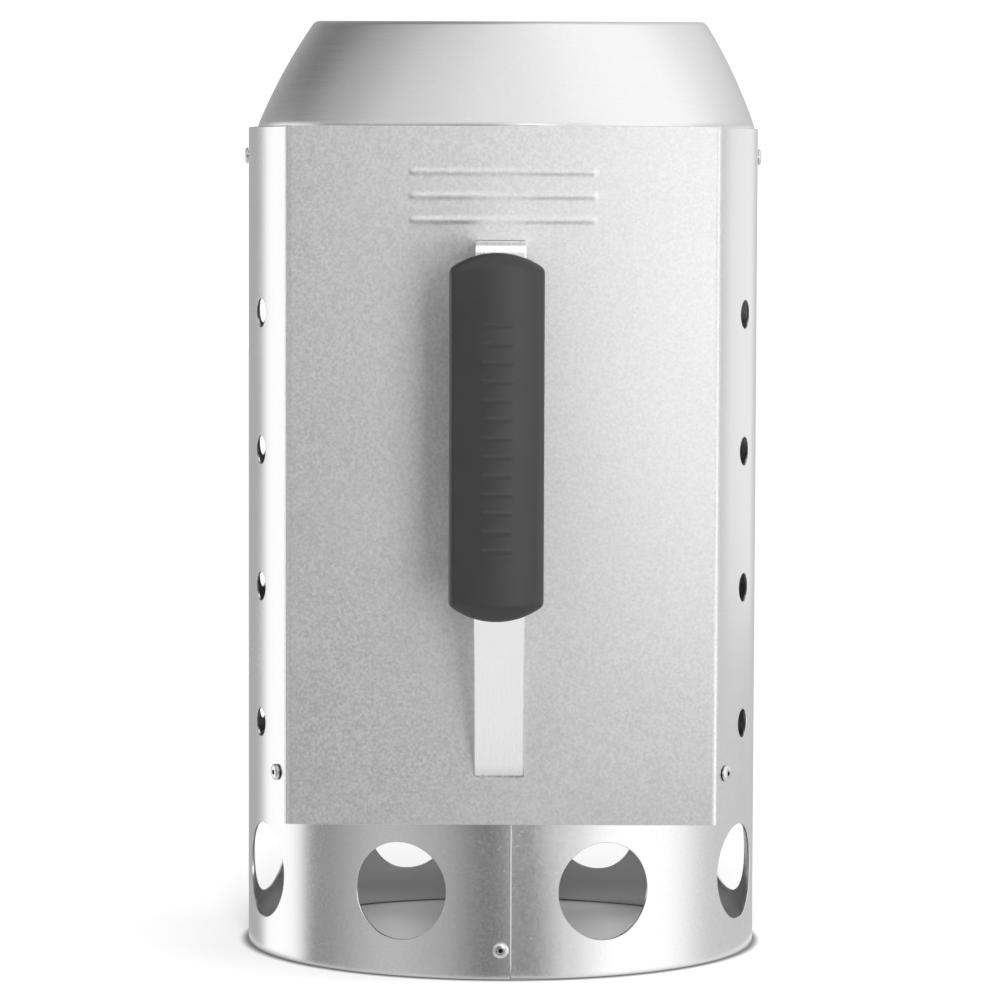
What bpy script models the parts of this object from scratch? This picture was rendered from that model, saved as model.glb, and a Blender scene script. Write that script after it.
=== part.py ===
"""Chimney charcoal starter: a rolled sheet-steel cylinder with a cone top, a perforated grate inside it,
a flat heat shield on the front, and a strap handle with a two-piece plastic grip.

Units are metres. Every piece is modelled about the cylinder's axis, with the handle toward -Y and the
base at Z = 0, and is parented to the empty "starter_axis", which puts the middle of the whole object's
box over the origin. Angles are in degrees from the front line (-Y) toward +X.
"""

import math

import bmesh
import bpy
from mathutils import Matrix, Vector

MM = 0.001
GAP = 0.3 * MM  # between pieces that touch

# Rolled body
SHEET = 0.8 * MM
BODY_RADIUS = 90.0 * MM
BODY_HEIGHT = 288.8 * MM
BODY_STEP = 6  # degrees between the wall's facets
ROUND_SIDES = 60  # facets round the cone and the grate, in line with the wall's
SEAM_DEG = 2.3  # free edge of the outer layer at the lap seam
LAP_DEG = 7.6  # how far the inner layer runs on under it
JOGGLE_DEG = 12.0  # where the sheet draws in by its own thickness

# Holes in the body
BASE_VENT_DEGS = (23.2, 67.3, 110.5, 156.5, -157.5, -107.7, -67.3, -22.5)
BASE_VENT_RADIUS = 16.65 * MM
BASE_VENT_Z = 29.4 * MM
SIDE_VENT_DEGS = (22.5, 70.0, 110.0, 157.5, -157.5, -105.6, -69.3, -22.5)
SIDE_VENT_RADIUS = 5.0 * MM
SIDE_VENT_TOP_Z = 224.1 * MM
SIDE_VENT_PITCH = 47.7 * MM
SIDE_VENT_ROWS = 4
BASE_VENT_SIDES = 28
SIDE_VENT_SIDES = 10
DRILL_INWARD = 14.0 * MM  # how far a drill reaches inside the wall
DRILL_OUTWARD = 5.0 * MM  # and outside it

# Blind rivets
RIVET_HEAD_RADIUS = 2.85 * MM
RIVET_HEAD_HEIGHT = 1.1 * MM
RIVET_STEM_RADIUS = 1.55 * MM
RIVET_RIM = 0.3 * MM
RIVET_DOME = 0.25 * MM  # the head falls by this from its hole to its shoulder
RIVET_SHOULDER = 0.68  # as a share of the head's radius
RIVET_HOLE_RADIUS = 2.0 * MM
RIVET_SIDES = 8
RIVET_BULB_RADIUS = 2.3 * MM
RIVET_BULB_LENGTH = 2.6 * MM
RIVET_BULB_SHOULDER = 0.3 * MM
RIVET_BULB_TAPER = 0.6  # where the bulb's taper starts, as a share of its length
MANDREL_RADIUS = 0.8 * MM
MANDREL_DEPTH = 0.6 * MM

# Cone top
SKIRT_RADIUS = 87.7 * MM
SKIRT_LOW_Z = 264.0 * MM
CONE_START_Z = 288.5 * MM
CONE_BEND_RADIUS = 6.0 * MM
CONE_START_DEG = 20.9  # lean of the wall from the vertical at the rim
CONE_END_DEG = 33.1  # and at the lip
CONE_WALL_RISE = 34.4 * MM
LIP_RADIUS = 3.2 * MM
LIP_END_DEG = 130.0
MOUTH_TILT_DEG = 2.1  # the mouth's plane drops toward the handle
CONE_OFFSET_X = 1.0 * MM  # the cone sits this far off the body's axis
MOUTH_LEAN_X = 1.3 * MM  # and its mouth's centre this much further

# Grate
GRATE_SHEET = 1.2 * MM
GRATE_RADIUS = 87.7 * MM
GRATE_LOW_Z = 57.0 * MM
GRATE_SHOULDER_Z = 72.5 * MM
GRATE_SLOPE_DEG = 22.0
GRATE_BEND_RADIUS = 3.0 * MM
GRATE_CENTRE_RADIUS = 9.0 * MM
GRATE_HOLE_RADIUS = 6.0 * MM
GRATE_HOLE_SIDES = 10
GRATE_RINGS = ((30.0 * MM, 6), (50.0 * MM, 10), (70.0 * MM, 14))

# Heat shield
SHIELD_FRONT_Y = -103.0 * MM
SHIELD_HALF_WIDTH = 72.6 * MM
SHIELD_LOW_Z = 54.8 * MM
SHIELD_HIGH_Z = 288.2 * MM
SHIELD_BEND_RADIUS = 1.7 * MM
SHIELD_FOOT_DEG = 43.6  # the feet lie on the body from here out to the flanges

# Handle: strap and grip
STRAP_X = -0.8 * MM
GRIP_X = -1.9 * MM  # the grip is loose on the strap, and sits a little to one side
STRAP = 1.8 * MM
STRAP_WIDTH = 16.4 * MM
STRAP_BEND_RADIUS = 2.5 * MM
STRAP_HEEL_RADIUS = 1.26 * MM
STRAP_ARM_Z = 249.3 * MM
STRAP_CORNER_Z = 134.0 * MM  # where the lower arm leaves the grip
STRAP_SLOT_Z = 72.4 * MM  # where it passes the shield
UPPER_FOOT_END_Z = 226.0 * MM
LOWER_FOOT_END_Z = 96.0 * MM
SLOT_WIDTH = 17.1 * MM
UPPER_SLOT = (248.0 * MM, 250.5 * MM)
LOWER_SLOT = (70.3 * MM, 74.5 * MM)
GRIP_FRONT_Y = -171.0 * MM
GRIP_BACK_Y = -150.5 * MM
GRIP_HALF_WIDTH = 15.25 * MM
GRIP_LOW_Z = 129.05 * MM
GRIP_HIGH_Z = 247.0 * MM
GRIP_END_SAGITTA = 5.2 * MM
GRIP_CORNER_RADIUS = 2.5 * MM
GRIP_BEVEL = 2.4 * MM
GROOVE_WIDTH = 19.2 * MM
ARM_RELIEF = 40.0 * MM  # the block cut away over the strap's lower arm
SCREW_LEVELS = (160.0 * MM, 217.0 * MM)
SCREW_HEAD_RADIUS = 3.3 * MM
SCREW_HEAD_HEIGHT = 2.2 * MM
SCREW_SHANK_RADIUS = 1.5 * MM
SCREW_LENGTH = 11.5 * MM
SCREW_SEAT_Y = -155.5 * MM
SCREW_RECESS_RADIUS = 1.25 * MM
SCREW_RECESS_DEPTH = 0.8 * MM
SCREW_CROWN_RADIUS = 2.3 * MM
SCREW_CROWN_DROP = 0.3 * MM
SCREW_RIM = 0.7 * MM
SCREW_POINT = 1.0 * MM
SCREW_SIDES = 12
SHANK_CLEARANCE = 0.4 * MM
HEAD_CLEARANCE = 0.5 * MM
SHANK_HOLE_SIDES = 10
SEAT_SIDES = 14

# Where the rivets are: levels, and angles around the body
CONE_RIVET_Z = 278.9 * MM
CONE_RIVET_DEGS = {"front": 0, "right": 90, "back": 180, "left": 270}
GRATE_RIVET_Z = 65.0 * MM
GRATE_RIVET_DEGS = {"left": -60, "right": 60, "back": 180}
SEAM_RIVETS = {"seam_rivet_low": 10.2 * MM, "seam_rivet_mid": 160.0 * MM}
UPPER_FOOT_RIVETS = {"strap_rivet_top": 240.5 * MM, "strap_rivet_upper": 231.0 * MM}
LOWER_FOOT_RIVETS = {"strap_rivet_lower": 90.5 * MM, "strap_rivet_bottom": 81.0 * MM}
SHIELD_RIVET_DEG = 46.8
SHIELD_RIVET_LEVELS = {"low": 95.0 * MM, "high": 250.0 * MM}

# The strap's middle planes: inside the grip, and on the body
STRAP_GRIP_Y = -162.5 * MM
STRAP_FOOT_Y = -(BODY_RADIUS + GAP + STRAP / 2)
REAR_REACH = BODY_RADIUS + GAP + RIVET_HEAD_HEIGHT
AXIS_Y = -(GRIP_FRONT_Y + REAR_REACH) / 2


def clear_scene():
    for old in list(bpy.data.objects):
        bpy.data.objects.remove(old, do_unlink=True)


def material(name, colour, roughness, metallic):
    made = bpy.data.materials.new(name)
    made.use_nodes = True
    shader = made.node_tree.nodes["Principled BSDF"]
    shader.inputs["Base Color"].default_value = (*colour, 1.0)
    shader.inputs["Roughness"].default_value = roughness
    shader.inputs["Metallic"].default_value = metallic
    return made


def steel(name):
    return material(name + "_steel", (0.66, 0.66, 0.67), 0.35, 1.0)


def rivet_metal(name):
    return material(name + "_alloy", (0.72, 0.72, 0.73), 0.25, 1.0)


def black_plastic(name):
    return material(name + "_plastic", (0.045, 0.045, 0.047), 0.45, 0.0)


def add_object(name, mesh_maker, finish, sharp_deg=30):
    """Makes an object from a filled bmesh and hangs it on the starter's axis."""
    bmesh.ops.recalc_face_normals(mesh_maker, faces=mesh_maker.faces)
    mesh = bpy.data.meshes.new(name)
    mesh_maker.to_mesh(mesh)
    mesh_maker.free()
    mesh.materials.append(finish)
    mesh.shade_smooth()
    mesh.set_sharp_from_angle(angle=math.radians(sharp_deg))
    made = bpy.data.objects.new(name, mesh)
    bpy.context.scene.collection.objects.link(made)
    made.parent = bpy.data.objects["starter_axis"]
    return made


def add_cutter(name, mesh_maker):
    cutter = add_object(name, mesh_maker, bpy.data.materials["cutter"])
    cutter.hide_render = True
    cutter.display_type = "WIRE"
    return cutter


def cut(target, cutter):
    boolean = target.modifiers.new("cut_" + cutter.name, "BOOLEAN")
    boolean.operation = "DIFFERENCE"
    boolean.solver = "EXACT"
    boolean.object = cutter


def polar(radius, degrees, z=0.0):
    angle = math.radians(degrees)
    return Vector((radius * math.sin(angle), -radius * math.cos(angle), z))


def arc(centre, radius, start_deg, end_deg, steps):
    """Points on a flat arc, angles counted the usual way from the first axis."""
    points = []
    for i in range(steps + 1):
        angle = math.radians(start_deg + (end_deg - start_deg) * i / steps)
        points.append((centre[0] + radius * math.cos(angle), centre[1] + radius * math.sin(angle)))
    return points


def fillet(points, radii, steps=4):
    """Rounds the inner corners of an open path; radii maps a corner's index to its radius."""
    rounded = []
    for i, point in enumerate(points):
        if i not in radii:
            rounded.append(point)
            continue
        corner = Vector(point)
        before = (Vector(points[i - 1]) - corner).normalized()
        after = (Vector(points[(i + 1) % len(points)]) - corner).normalized()
        half = before.angle(after) / 2
        centre = corner + (before + after).normalized() * radii[i] / math.sin(half)
        first = corner + before * radii[i] / math.tan(half) - centre
        turn = first.angle_signed(corner + after * radii[i] / math.tan(half) - centre)
        for k in range(steps + 1):
            spoke = first.copy()
            spoke.rotate(Matrix.Rotation(-turn * k / steps, 2))
            rounded.append(tuple(centre + spoke))
    return rounded


def offset_path(points, distance):
    """The path moved sideways by distance, to its left, with mitred corners."""
    moved = []
    last = len(points) - 1
    for i, point in enumerate(points):
        ahead = (Vector(points[min(i + 1, last)]) - Vector(points[min(i, last - 1)])).normalized()
        behind = (Vector(points[max(i, 1)]) - Vector(points[max(i - 1, 0)])).normalized()
        left = Vector((-ahead.y - behind.y, ahead.x + behind.x)).normalized()
        stretch = left.dot(Vector((-ahead.y, ahead.x)))
        moved.append(tuple(Vector(point) + left * distance / stretch))
    return moved


def sheet_strip(side_a, side_b, low, high, place):
    """A bent sheet: its section's two long sides, carried from low to high along the third axis."""
    made = bmesh.new()
    rows = []
    for side in (side_a, side_b):
        for level in (low, high):
            rows.append([made.verts.new(place(u, v, level)) for u, v in side])
    a_low, a_high, b_low, b_high = rows
    for one, two in ((a_low, a_high), (a_high, b_high), (b_high, b_low), (b_low, a_low)):
        for i in range(len(one) - 1):
            made.faces.new((one[i], one[i + 1], two[i + 1], two[i]))
    for end in (0, -1):
        made.faces.new((a_low[end], a_high[end], b_high[end], b_low[end]))
    return made


def upright(x, y, level):
    return (x, y, level)


def across(y, z, level):
    return (level, y, z)


def revolve(profile, segments, ring=False):
    """Turns (radius, z) points about the Z axis; a ring's profile closes on itself."""
    made = bmesh.new()
    rows = []
    for radius, z in profile:
        if radius == 0.0:
            rows.append([made.verts.new((0.0, 0.0, z))] * segments)
        else:
            rows.append([made.verts.new(polar(radius, 360 * i / segments, z)) for i in range(segments)])
    pairs = list(zip(rows, rows[1:] + rows[:1] if ring else rows[1:]))
    for one, two in pairs:
        for i in range(segments):
            j = (i + 1) % segments
            corners = list(dict.fromkeys((one[i], one[j], two[j], two[i])))
            if len(corners) > 2:
                made.faces.new(corners)
    return made


def drill(made, start, end, radius, segments):
    """Adds a closed cylinder from start to end to a cutter."""
    start, end = Vector(start), Vector(end)
    turn = (end - start).to_track_quat("Z", "Y").to_matrix().to_4x4()
    bmesh.ops.create_cone(
        made,
        cap_ends=True,
        segments=segments,
        radius1=radius,
        radius2=radius,
        depth=(end - start).length,
        matrix=Matrix.Translation((start + end) / 2) @ turn,
    )


def drill_wall(made, degrees, z, radius=RIVET_HOLE_RADIUS, segments=RIVET_SIDES):
    """A radial hole through everything near the body's wall."""
    inside = polar(BODY_RADIUS - DRILL_INWARD, degrees, z)
    outside = polar(BODY_RADIUS + DRILL_OUTWARD, degrees, z)
    drill(made, inside, outside, radius, segments)


def box_cutter(name, low, high):
    made = bmesh.new()
    middle = (Vector(low) + Vector(high)) / 2
    bmesh.ops.create_cube(made, size=1.0)
    bmesh.ops.scale(made, vec=Vector(high) - Vector(low), verts=made.verts)
    bmesh.ops.translate(made, vec=middle, verts=made.verts)
    return add_cutter(name, made)


def strap_deg():
    """The angle of the strap's centre line on the body."""
    return math.degrees(math.asin(STRAP_X / BODY_RADIUS))


def wall_radius(degrees):
    """Outer radius of the rolled sheet, counted down from the seam: it draws in before the lap."""
    inset = SHEET + GAP
    travelled = SEAM_DEG - degrees
    share = (travelled - (360 - JOGGLE_DEG)) / JOGGLE_DEG
    return BODY_RADIUS - inset * min(max(share, 0.0), 1.0)


def body_shell():
    lap_start = SEAM_DEG - 360
    angles = [SEAM_DEG]
    angles += list(range(0, -345, -BODY_STEP))
    angles += [lap_start + JOGGLE_DEG, lap_start + JOGGLE_DEG / 2, lap_start, -360, lap_start - LAP_DEG]
    outer = [tuple(polar(wall_radius(a), a).xy) for a in angles]
    inner = [tuple(polar(wall_radius(a) - SHEET, a).xy) for a in angles]
    shell = add_object(
        "body_shell", sheet_strip(outer, inner, 0.0, BODY_HEIGHT, upright), steel("body")
    )
    holes = bmesh.new()
    for degrees in BASE_VENT_DEGS:
        drill_wall(holes, degrees, BASE_VENT_Z, BASE_VENT_RADIUS, BASE_VENT_SIDES)
    for degrees in SIDE_VENT_DEGS:
        for row in range(SIDE_VENT_ROWS):
            z = SIDE_VENT_TOP_Z - row * SIDE_VENT_PITCH
            drill_wall(holes, degrees, z, SIDE_VENT_RADIUS, SIDE_VENT_SIDES)
    for degrees in CONE_RIVET_DEGS.values():
        drill_wall(holes, degrees, CONE_RIVET_Z)
    for degrees in GRATE_RIVET_DEGS.values():
        drill_wall(holes, degrees, GRATE_RIVET_Z)
    for z in SEAM_RIVETS.values():
        drill_wall(holes, 0, z)
    for z in (*UPPER_FOOT_RIVETS.values(), *LOWER_FOOT_RIVETS.values()):
        drill_wall(holes, strap_deg(), z)
    for degrees in (-SHIELD_RIVET_DEG, SHIELD_RIVET_DEG):
        for z in SHIELD_RIVET_LEVELS.values():
            drill_wall(holes, degrees, z)
    cut(shell, add_cutter("body_holes", holes))


def cone_path():
    """The cone's outer line: skirt, bend at the rim, a slightly bulging wall, and a lip rolled inward."""
    path = [(SKIRT_RADIUS, SKIRT_LOW_Z)]
    path += [(SKIRT_RADIUS, CONE_START_Z)]
    bend_centre = (SKIRT_RADIUS - CONE_BEND_RADIUS, CONE_START_Z)
    path += arc(bend_centre, CONE_BEND_RADIUS, 0, CONE_START_DEG, 1)[1:]
    start = path[-1]
    turn = math.sin(math.radians(CONE_END_DEG)) - math.sin(math.radians(CONE_START_DEG))
    bulge = CONE_WALL_RISE / turn
    wall_centre = (
        start[0] - bulge * math.cos(math.radians(CONE_START_DEG)),
        start[1] - bulge * math.sin(math.radians(CONE_START_DEG)),
    )
    path += arc(wall_centre, bulge, CONE_START_DEG, CONE_END_DEG, 2)[1:]
    end = path[-1]
    lip_centre = (
        end[0] - LIP_RADIUS * math.cos(math.radians(CONE_END_DEG)),
        end[1] - LIP_RADIUS * math.sin(math.radians(CONE_END_DEG)),
    )
    path += arc(lip_centre, LIP_RADIUS, CONE_END_DEG, LIP_END_DEG, 3)[1:]
    return path


def top_cone():
    path = cone_path()
    top_z = max(z for _, z in path)
    made = revolve(path + offset_path(path, SHEET)[::-1], ROUND_SIDES, ring=True)
    for vert in made.verts:
        share = max(vert.co.z - CONE_START_Z, 0.0) / (top_z - CONE_START_Z)
        vert.co.z += share * vert.co.y * math.tan(math.radians(MOUTH_TILT_DEG))
        vert.co.x += CONE_OFFSET_X + share * MOUTH_LEAN_X
    cone = add_object("top_cone", made, steel("cone"))
    holes = bmesh.new()
    for degrees in CONE_RIVET_DEGS.values():
        drill_wall(holes, degrees, CONE_RIVET_Z)
    cut(cone, add_cutter("cone_holes", holes))


def charcoal_grate():
    """An inverted pan: a skirt riveted inside the body, and a low perforated cone that rises from it."""
    rise = (GRATE_RADIUS - GRATE_CENTRE_RADIUS) * math.tan(math.radians(GRATE_SLOPE_DEG))
    corners = [
        (GRATE_RADIUS, GRATE_LOW_Z),
        (GRATE_RADIUS, GRATE_SHOULDER_Z),
        (GRATE_CENTRE_RADIUS, GRATE_SHOULDER_Z + rise),
    ]
    path = fillet(corners, {1: GRATE_BEND_RADIUS}, steps=2)
    made = revolve(path + offset_path(path, GRATE_SHEET)[::-1], ROUND_SIDES, ring=True)
    grate = add_object("charcoal_grate", made, steel("grate"))
    holes = bmesh.new()
    for radius, count in GRATE_RINGS:
        for i in range(count):
            place = polar(radius, 360 * i / count)
            above = place + Vector((0, 0, BODY_HEIGHT / 2))
            drill(holes, place, above, GRATE_HOLE_RADIUS, GRATE_HOLE_SIDES)
    for degrees in GRATE_RIVET_DEGS.values():
        drill_wall(holes, degrees, GRATE_RIVET_Z)
    cut(grate, add_cutter("grate_holes", holes))


def shield_path():
    """The shield's middle line seen from above: foot, flange, front plate, flange, foot."""
    foot_radius = BODY_RADIUS + GAP + SHEET / 2
    flange_x = SHIELD_HALF_WIDTH - SHEET / 2
    front_y = SHIELD_FRONT_Y + SHEET / 2
    edge_deg = math.degrees(math.asin(flange_x / foot_radius))
    foot_degrees = (SHIELD_FOOT_DEG, (SHIELD_FOOT_DEG + edge_deg) / 2, edge_deg)
    foot = [tuple(polar(foot_radius, degrees).xy) for degrees in foot_degrees]
    right = [*foot, (flange_x, front_y)]
    left = [(-x, y) for x, y in reversed(right)]
    bends = {2: SHEET, 3: SHIELD_BEND_RADIUS, 4: SHIELD_BEND_RADIUS, 5: SHEET}
    return fillet(right + left, bends)


def heat_shield():
    path = shield_path()
    sides = offset_path(path, SHEET / 2), offset_path(path, -SHEET / 2)
    shield = add_object(
        "heat_shield",
        sheet_strip(*sides, SHIELD_LOW_Z, SHIELD_HIGH_Z, upright),
        steel("shield"),
    )
    for name, (low, high) in {"upper_slot": UPPER_SLOT, "lower_slot": LOWER_SLOT}.items():
        slot = box_cutter(
            name,
            (STRAP_X - SLOT_WIDTH / 2, SHIELD_FRONT_Y - SHEET, low),
            (STRAP_X + SLOT_WIDTH / 2, SHIELD_FRONT_Y + 2 * SHEET, high),
        )
        cut(shield, slot)
    holes = bmesh.new()
    for degrees in (-SHIELD_RIVET_DEG, SHIELD_RIVET_DEG):
        for z in SHIELD_RIVET_LEVELS.values():
            drill_wall(holes, degrees, z)
    cut(shield, add_cutter("shield_holes", holes))


def lower_arm_slope():
    """How far the lower arm rises for each metre that it comes forward."""
    return (STRAP_CORNER_Z - STRAP_SLOT_Z) / (SHIELD_FRONT_Y + SHEET / 2 - STRAP_GRIP_Y)


def strap_path():
    """The strap's middle line seen from the side, from the upper foot's end to the lower foot's end."""
    heel_z = STRAP_CORNER_Z - lower_arm_slope() * (STRAP_FOOT_Y - STRAP_GRIP_Y)
    corners = [
        (STRAP_FOOT_Y, UPPER_FOOT_END_Z),
        (STRAP_FOOT_Y, STRAP_ARM_Z),
        (STRAP_GRIP_Y, STRAP_ARM_Z),
        (STRAP_GRIP_Y, STRAP_CORNER_Z),
        (STRAP_FOOT_Y, heel_z),
        (STRAP_FOOT_Y, LOWER_FOOT_END_Z),
    ]
    bends = {1: STRAP_BEND_RADIUS, 2: STRAP_BEND_RADIUS, 3: 2 * STRAP_BEND_RADIUS, 4: STRAP_HEEL_RADIUS}
    return fillet(corners, bends)


def shank_hole(made, start_y, end_y, z):
    """A clearance hole for a grip screw's shank."""
    radius = SCREW_SHANK_RADIUS + SHANK_CLEARANCE
    drill(made, (GRIP_X, start_y, z), (GRIP_X, end_y, z), radius, SHANK_HOLE_SIDES)


def handle_strap():
    path = strap_path()
    low, high = STRAP_X - STRAP_WIDTH / 2, STRAP_X + STRAP_WIDTH / 2
    sides = offset_path(path, STRAP / 2), offset_path(path, -STRAP / 2)
    strap = add_object("handle_strap", sheet_strip(*sides, low, high, across), steel("strap"))
    holes = bmesh.new()
    for z in (*UPPER_FOOT_RIVETS.values(), *LOWER_FOOT_RIVETS.values()):
        drill_wall(holes, strap_deg(), z)
    for z in SCREW_LEVELS:
        shank_hole(holes, STRAP_GRIP_Y - 2 * STRAP, STRAP_GRIP_Y + 2 * STRAP, z)
    cut(strap, add_cutter("strap_holes", holes))


def grip_outline():
    """The grip seen from the front: straight sides, bowed ends and small round corners."""
    bow = (GRIP_HALF_WIDTH**2 + GRIP_END_SAGITTA**2) / (2 * GRIP_END_SAGITTA)
    sweep = math.degrees(math.asin(GRIP_HALF_WIDTH / bow))
    top = arc((0.0, GRIP_HIGH_Z - bow), bow, 90 - sweep, 90 + sweep, 6)
    bottom = arc((0.0, GRIP_LOW_Z + bow), bow, 270 - sweep, 270 + sweep, 6)
    outline = top + bottom
    corners = (0, 6, 7, 13)
    return fillet(outline, dict.fromkeys(corners, GRIP_CORNER_RADIUS), steps=2)


def grip_half(name, front_y, back_y, bevelled_y):
    """Extrudes the grip's outline from front to back, and rounds the edges of its outer face."""
    made = bmesh.new()
    outline = grip_outline()
    front = [made.verts.new((GRIP_X + x, front_y, z)) for x, z in outline]
    back = [made.verts.new((GRIP_X + x, back_y, z)) for x, z in outline]
    made.faces.new(front)
    made.faces.new(back)
    for i in range(len(outline)):
        j = (i + 1) % len(outline)
        made.faces.new((front[i], front[j], back[j], back[i]))
    outer = [e for e in made.edges if all(abs(v.co.y - bevelled_y) < GAP / 2 for v in e.verts)]
    bmesh.ops.bevel(
        made, geom=outer, offset=GRIP_BEVEL, segments=2, profile=0.5, affect="EDGES", clamp_overlap=True
    )
    return add_object(name, made, black_plastic(name))


def grip_front():
    back_y = STRAP_GRIP_Y - STRAP / 2 - GAP
    front = grip_half("grip_front", GRIP_FRONT_Y, back_y, GRIP_FRONT_Y)
    holes = bmesh.new()
    for z in SCREW_LEVELS:
        shank_hole(holes, SCREW_SEAT_Y - SCREW_LENGTH - GAP, back_y + SHEET, z)
    cut(front, add_cutter("grip_front_holes", holes))


def grip_rear():
    """The rear half: grooved for the strap, cut back over its lower arm, counterbored for the screws."""
    front_y = STRAP_GRIP_Y - STRAP / 2
    rear = grip_half("grip_rear", front_y, GRIP_BACK_Y, GRIP_BACK_Y)
    groove = box_cutter(
        "grip_groove",
        (GRIP_X - GROOVE_WIDTH / 2, front_y - SHEET, GRIP_LOW_Z - SHEET),
        (GRIP_X + GROOVE_WIDTH / 2, front_y + STRAP + GAP, GRIP_HIGH_Z + SHEET),
    )
    cut(rear, groove)
    slope = math.atan(lower_arm_slope())
    below_arm = bmesh.new()
    bmesh.ops.create_cube(below_arm, size=1.0)
    bmesh.ops.scale(below_arm, vec=(ARM_RELIEF, 2 * ARM_RELIEF, ARM_RELIEF), verts=below_arm.verts)
    lift = STRAP / 2 + GAP - ARM_RELIEF / 2
    bmesh.ops.translate(below_arm, vec=(0.0, 0.0, lift), verts=below_arm.verts)
    turn = Matrix.Rotation(-slope, 4, "X")
    corner = Matrix.Translation((GRIP_X, STRAP_GRIP_Y, STRAP_CORNER_Z))
    bmesh.ops.transform(below_arm, matrix=corner @ turn, verts=below_arm.verts)
    cut(rear, add_cutter("grip_arm_relief", below_arm))
    holes = bmesh.new()
    for z in SCREW_LEVELS:
        shank_hole(holes, front_y - SHEET, SCREW_SEAT_Y + SHEET, z)
    seats = bmesh.new()
    for z in SCREW_LEVELS:
        seat_end = (GRIP_X, GRIP_BACK_Y + SHEET, z)
        drill(seats, (GRIP_X, SCREW_SEAT_Y, z), seat_end, SCREW_HEAD_RADIUS + HEAD_CLEARANCE, SEAT_SIDES)
    cut(rear, add_cutter("grip_rear_holes", holes))
    cut(rear, add_cutter("grip_screw_seats", seats))


def screw_profile():
    top = GAP + SCREW_HEAD_HEIGHT
    return [
        (0.0, top - SCREW_RECESS_DEPTH),
        (SCREW_RECESS_RADIUS, top - SCREW_RECESS_DEPTH),
        (SCREW_RECESS_RADIUS, top),
        (SCREW_CROWN_RADIUS, top - SCREW_CROWN_DROP),
        (SCREW_HEAD_RADIUS, GAP + SCREW_RIM),
        (SCREW_HEAD_RADIUS, GAP),
        (SCREW_SHANK_RADIUS, GAP),
        (SCREW_SHANK_RADIUS, SCREW_POINT - SCREW_LENGTH),
        (0.0, -SCREW_LENGTH),
    ]


def rivet_profile(stack):
    """A set blind rivet: domed head with its mandrel hole, stem through the stack, and a bulb behind."""
    head = GAP + RIVET_HEAD_HEIGHT
    back = -stack - GAP
    return [
        (0.0, head - MANDREL_DEPTH),
        (MANDREL_RADIUS, head - MANDREL_DEPTH),
        (MANDREL_RADIUS, head),
        (RIVET_SHOULDER * RIVET_HEAD_RADIUS, head - RIVET_DOME),
        (RIVET_HEAD_RADIUS, GAP + RIVET_RIM),
        (RIVET_HEAD_RADIUS, GAP),
        (RIVET_STEM_RADIUS, GAP),
        (RIVET_STEM_RADIUS, back),
        (RIVET_BULB_RADIUS, back - RIVET_BULB_SHOULDER),
        (RIVET_BULB_RADIUS, back - RIVET_BULB_TAPER * RIVET_BULB_LENGTH),
        (0.0, back - RIVET_BULB_LENGTH),
    ]


def add_turned(name, profile, segments, finish, place, outward):
    """A turned fastener whose own Z axis points outward from place."""
    fastener = add_object(name, revolve(profile, segments), finish)
    fastener.location = place
    fastener.rotation_mode = "QUATERNION"
    fastener.rotation_quaternion = Vector(outward).to_track_quat("Z", "Y")
    return fastener


def wall_rivet(name, degrees, z, stack, surface=BODY_RADIUS):
    """A rivet set from outside: its head stands on the surface at this radius."""
    profile = rivet_profile(stack)
    place = polar(surface, degrees, z)
    add_turned(name, profile, RIVET_SIDES, rivet_metal(name), place, polar(1.0, degrees))


def cone_rivets():
    for name, degrees in CONE_RIVET_DEGS.items():
        nearer = polar(CONE_OFFSET_X, degrees).x
        stack = BODY_RADIUS - SKIRT_RADIUS + SHEET - nearer
        wall_rivet("cone_rivet_" + name, degrees, CONE_RIVET_Z, stack)


def grate_rivets():
    stack = BODY_RADIUS - GRATE_RADIUS + GRATE_SHEET
    for name, degrees in GRATE_RIVET_DEGS.items():
        wall_rivet("grate_rivet_" + name, degrees, GRATE_RIVET_Z, stack)


def seam_rivets():
    stack = 2 * SHEET + GAP
    for name, z in SEAM_RIVETS.items():
        wall_rivet(name, 0, z, stack)


def strap_rivets():
    foot_face = BODY_RADIUS + GAP + STRAP
    stack = STRAP + GAP + 2 * SHEET + GAP
    for name, z in (*UPPER_FOOT_RIVETS.items(), *LOWER_FOOT_RIVETS.items()):
        wall_rivet(name, strap_deg(), z, stack, foot_face)


def shield_rivets():
    """Set from inside the body, so their bulbs are behind the shield."""
    stack = 2 * SHEET + GAP
    for side, degrees in {"left": -SHIELD_RIVET_DEG, "right": SHIELD_RIVET_DEG}.items():
        for level, z in SHIELD_RIVET_LEVELS.items():
            name = f"shield_rivet_{side}_{level}"
            place = polar(BODY_RADIUS - SHEET, degrees, z)
            profile = rivet_profile(stack)
            add_turned(name, profile, RIVET_SIDES, rivet_metal(name), place, -polar(1.0, degrees))


def grip_screws():
    for name, z in zip(("grip_screw_lower", "grip_screw_upper"), SCREW_LEVELS):
        place = (GRIP_X, SCREW_SEAT_Y, z)
        add_turned(name, screw_profile(), SCREW_SIDES, rivet_metal(name), place, (0, 1, 0))


def build():
    clear_scene()
    axis = bpy.data.objects.new("starter_axis", None)
    axis.location = (0.0, AXIS_Y, 0.0)
    bpy.context.scene.collection.objects.link(axis)
    material("cutter", (0.8, 0.2, 0.1), 0.5, 0.0)
    body_shell()
    top_cone()
    charcoal_grate()
    heat_shield()
    handle_strap()
    grip_front()
    grip_rear()
    grip_screws()
    cone_rivets()
    grate_rivets()
    seam_rivets()
    strap_rivets()
    shield_rivets()


build()
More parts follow.
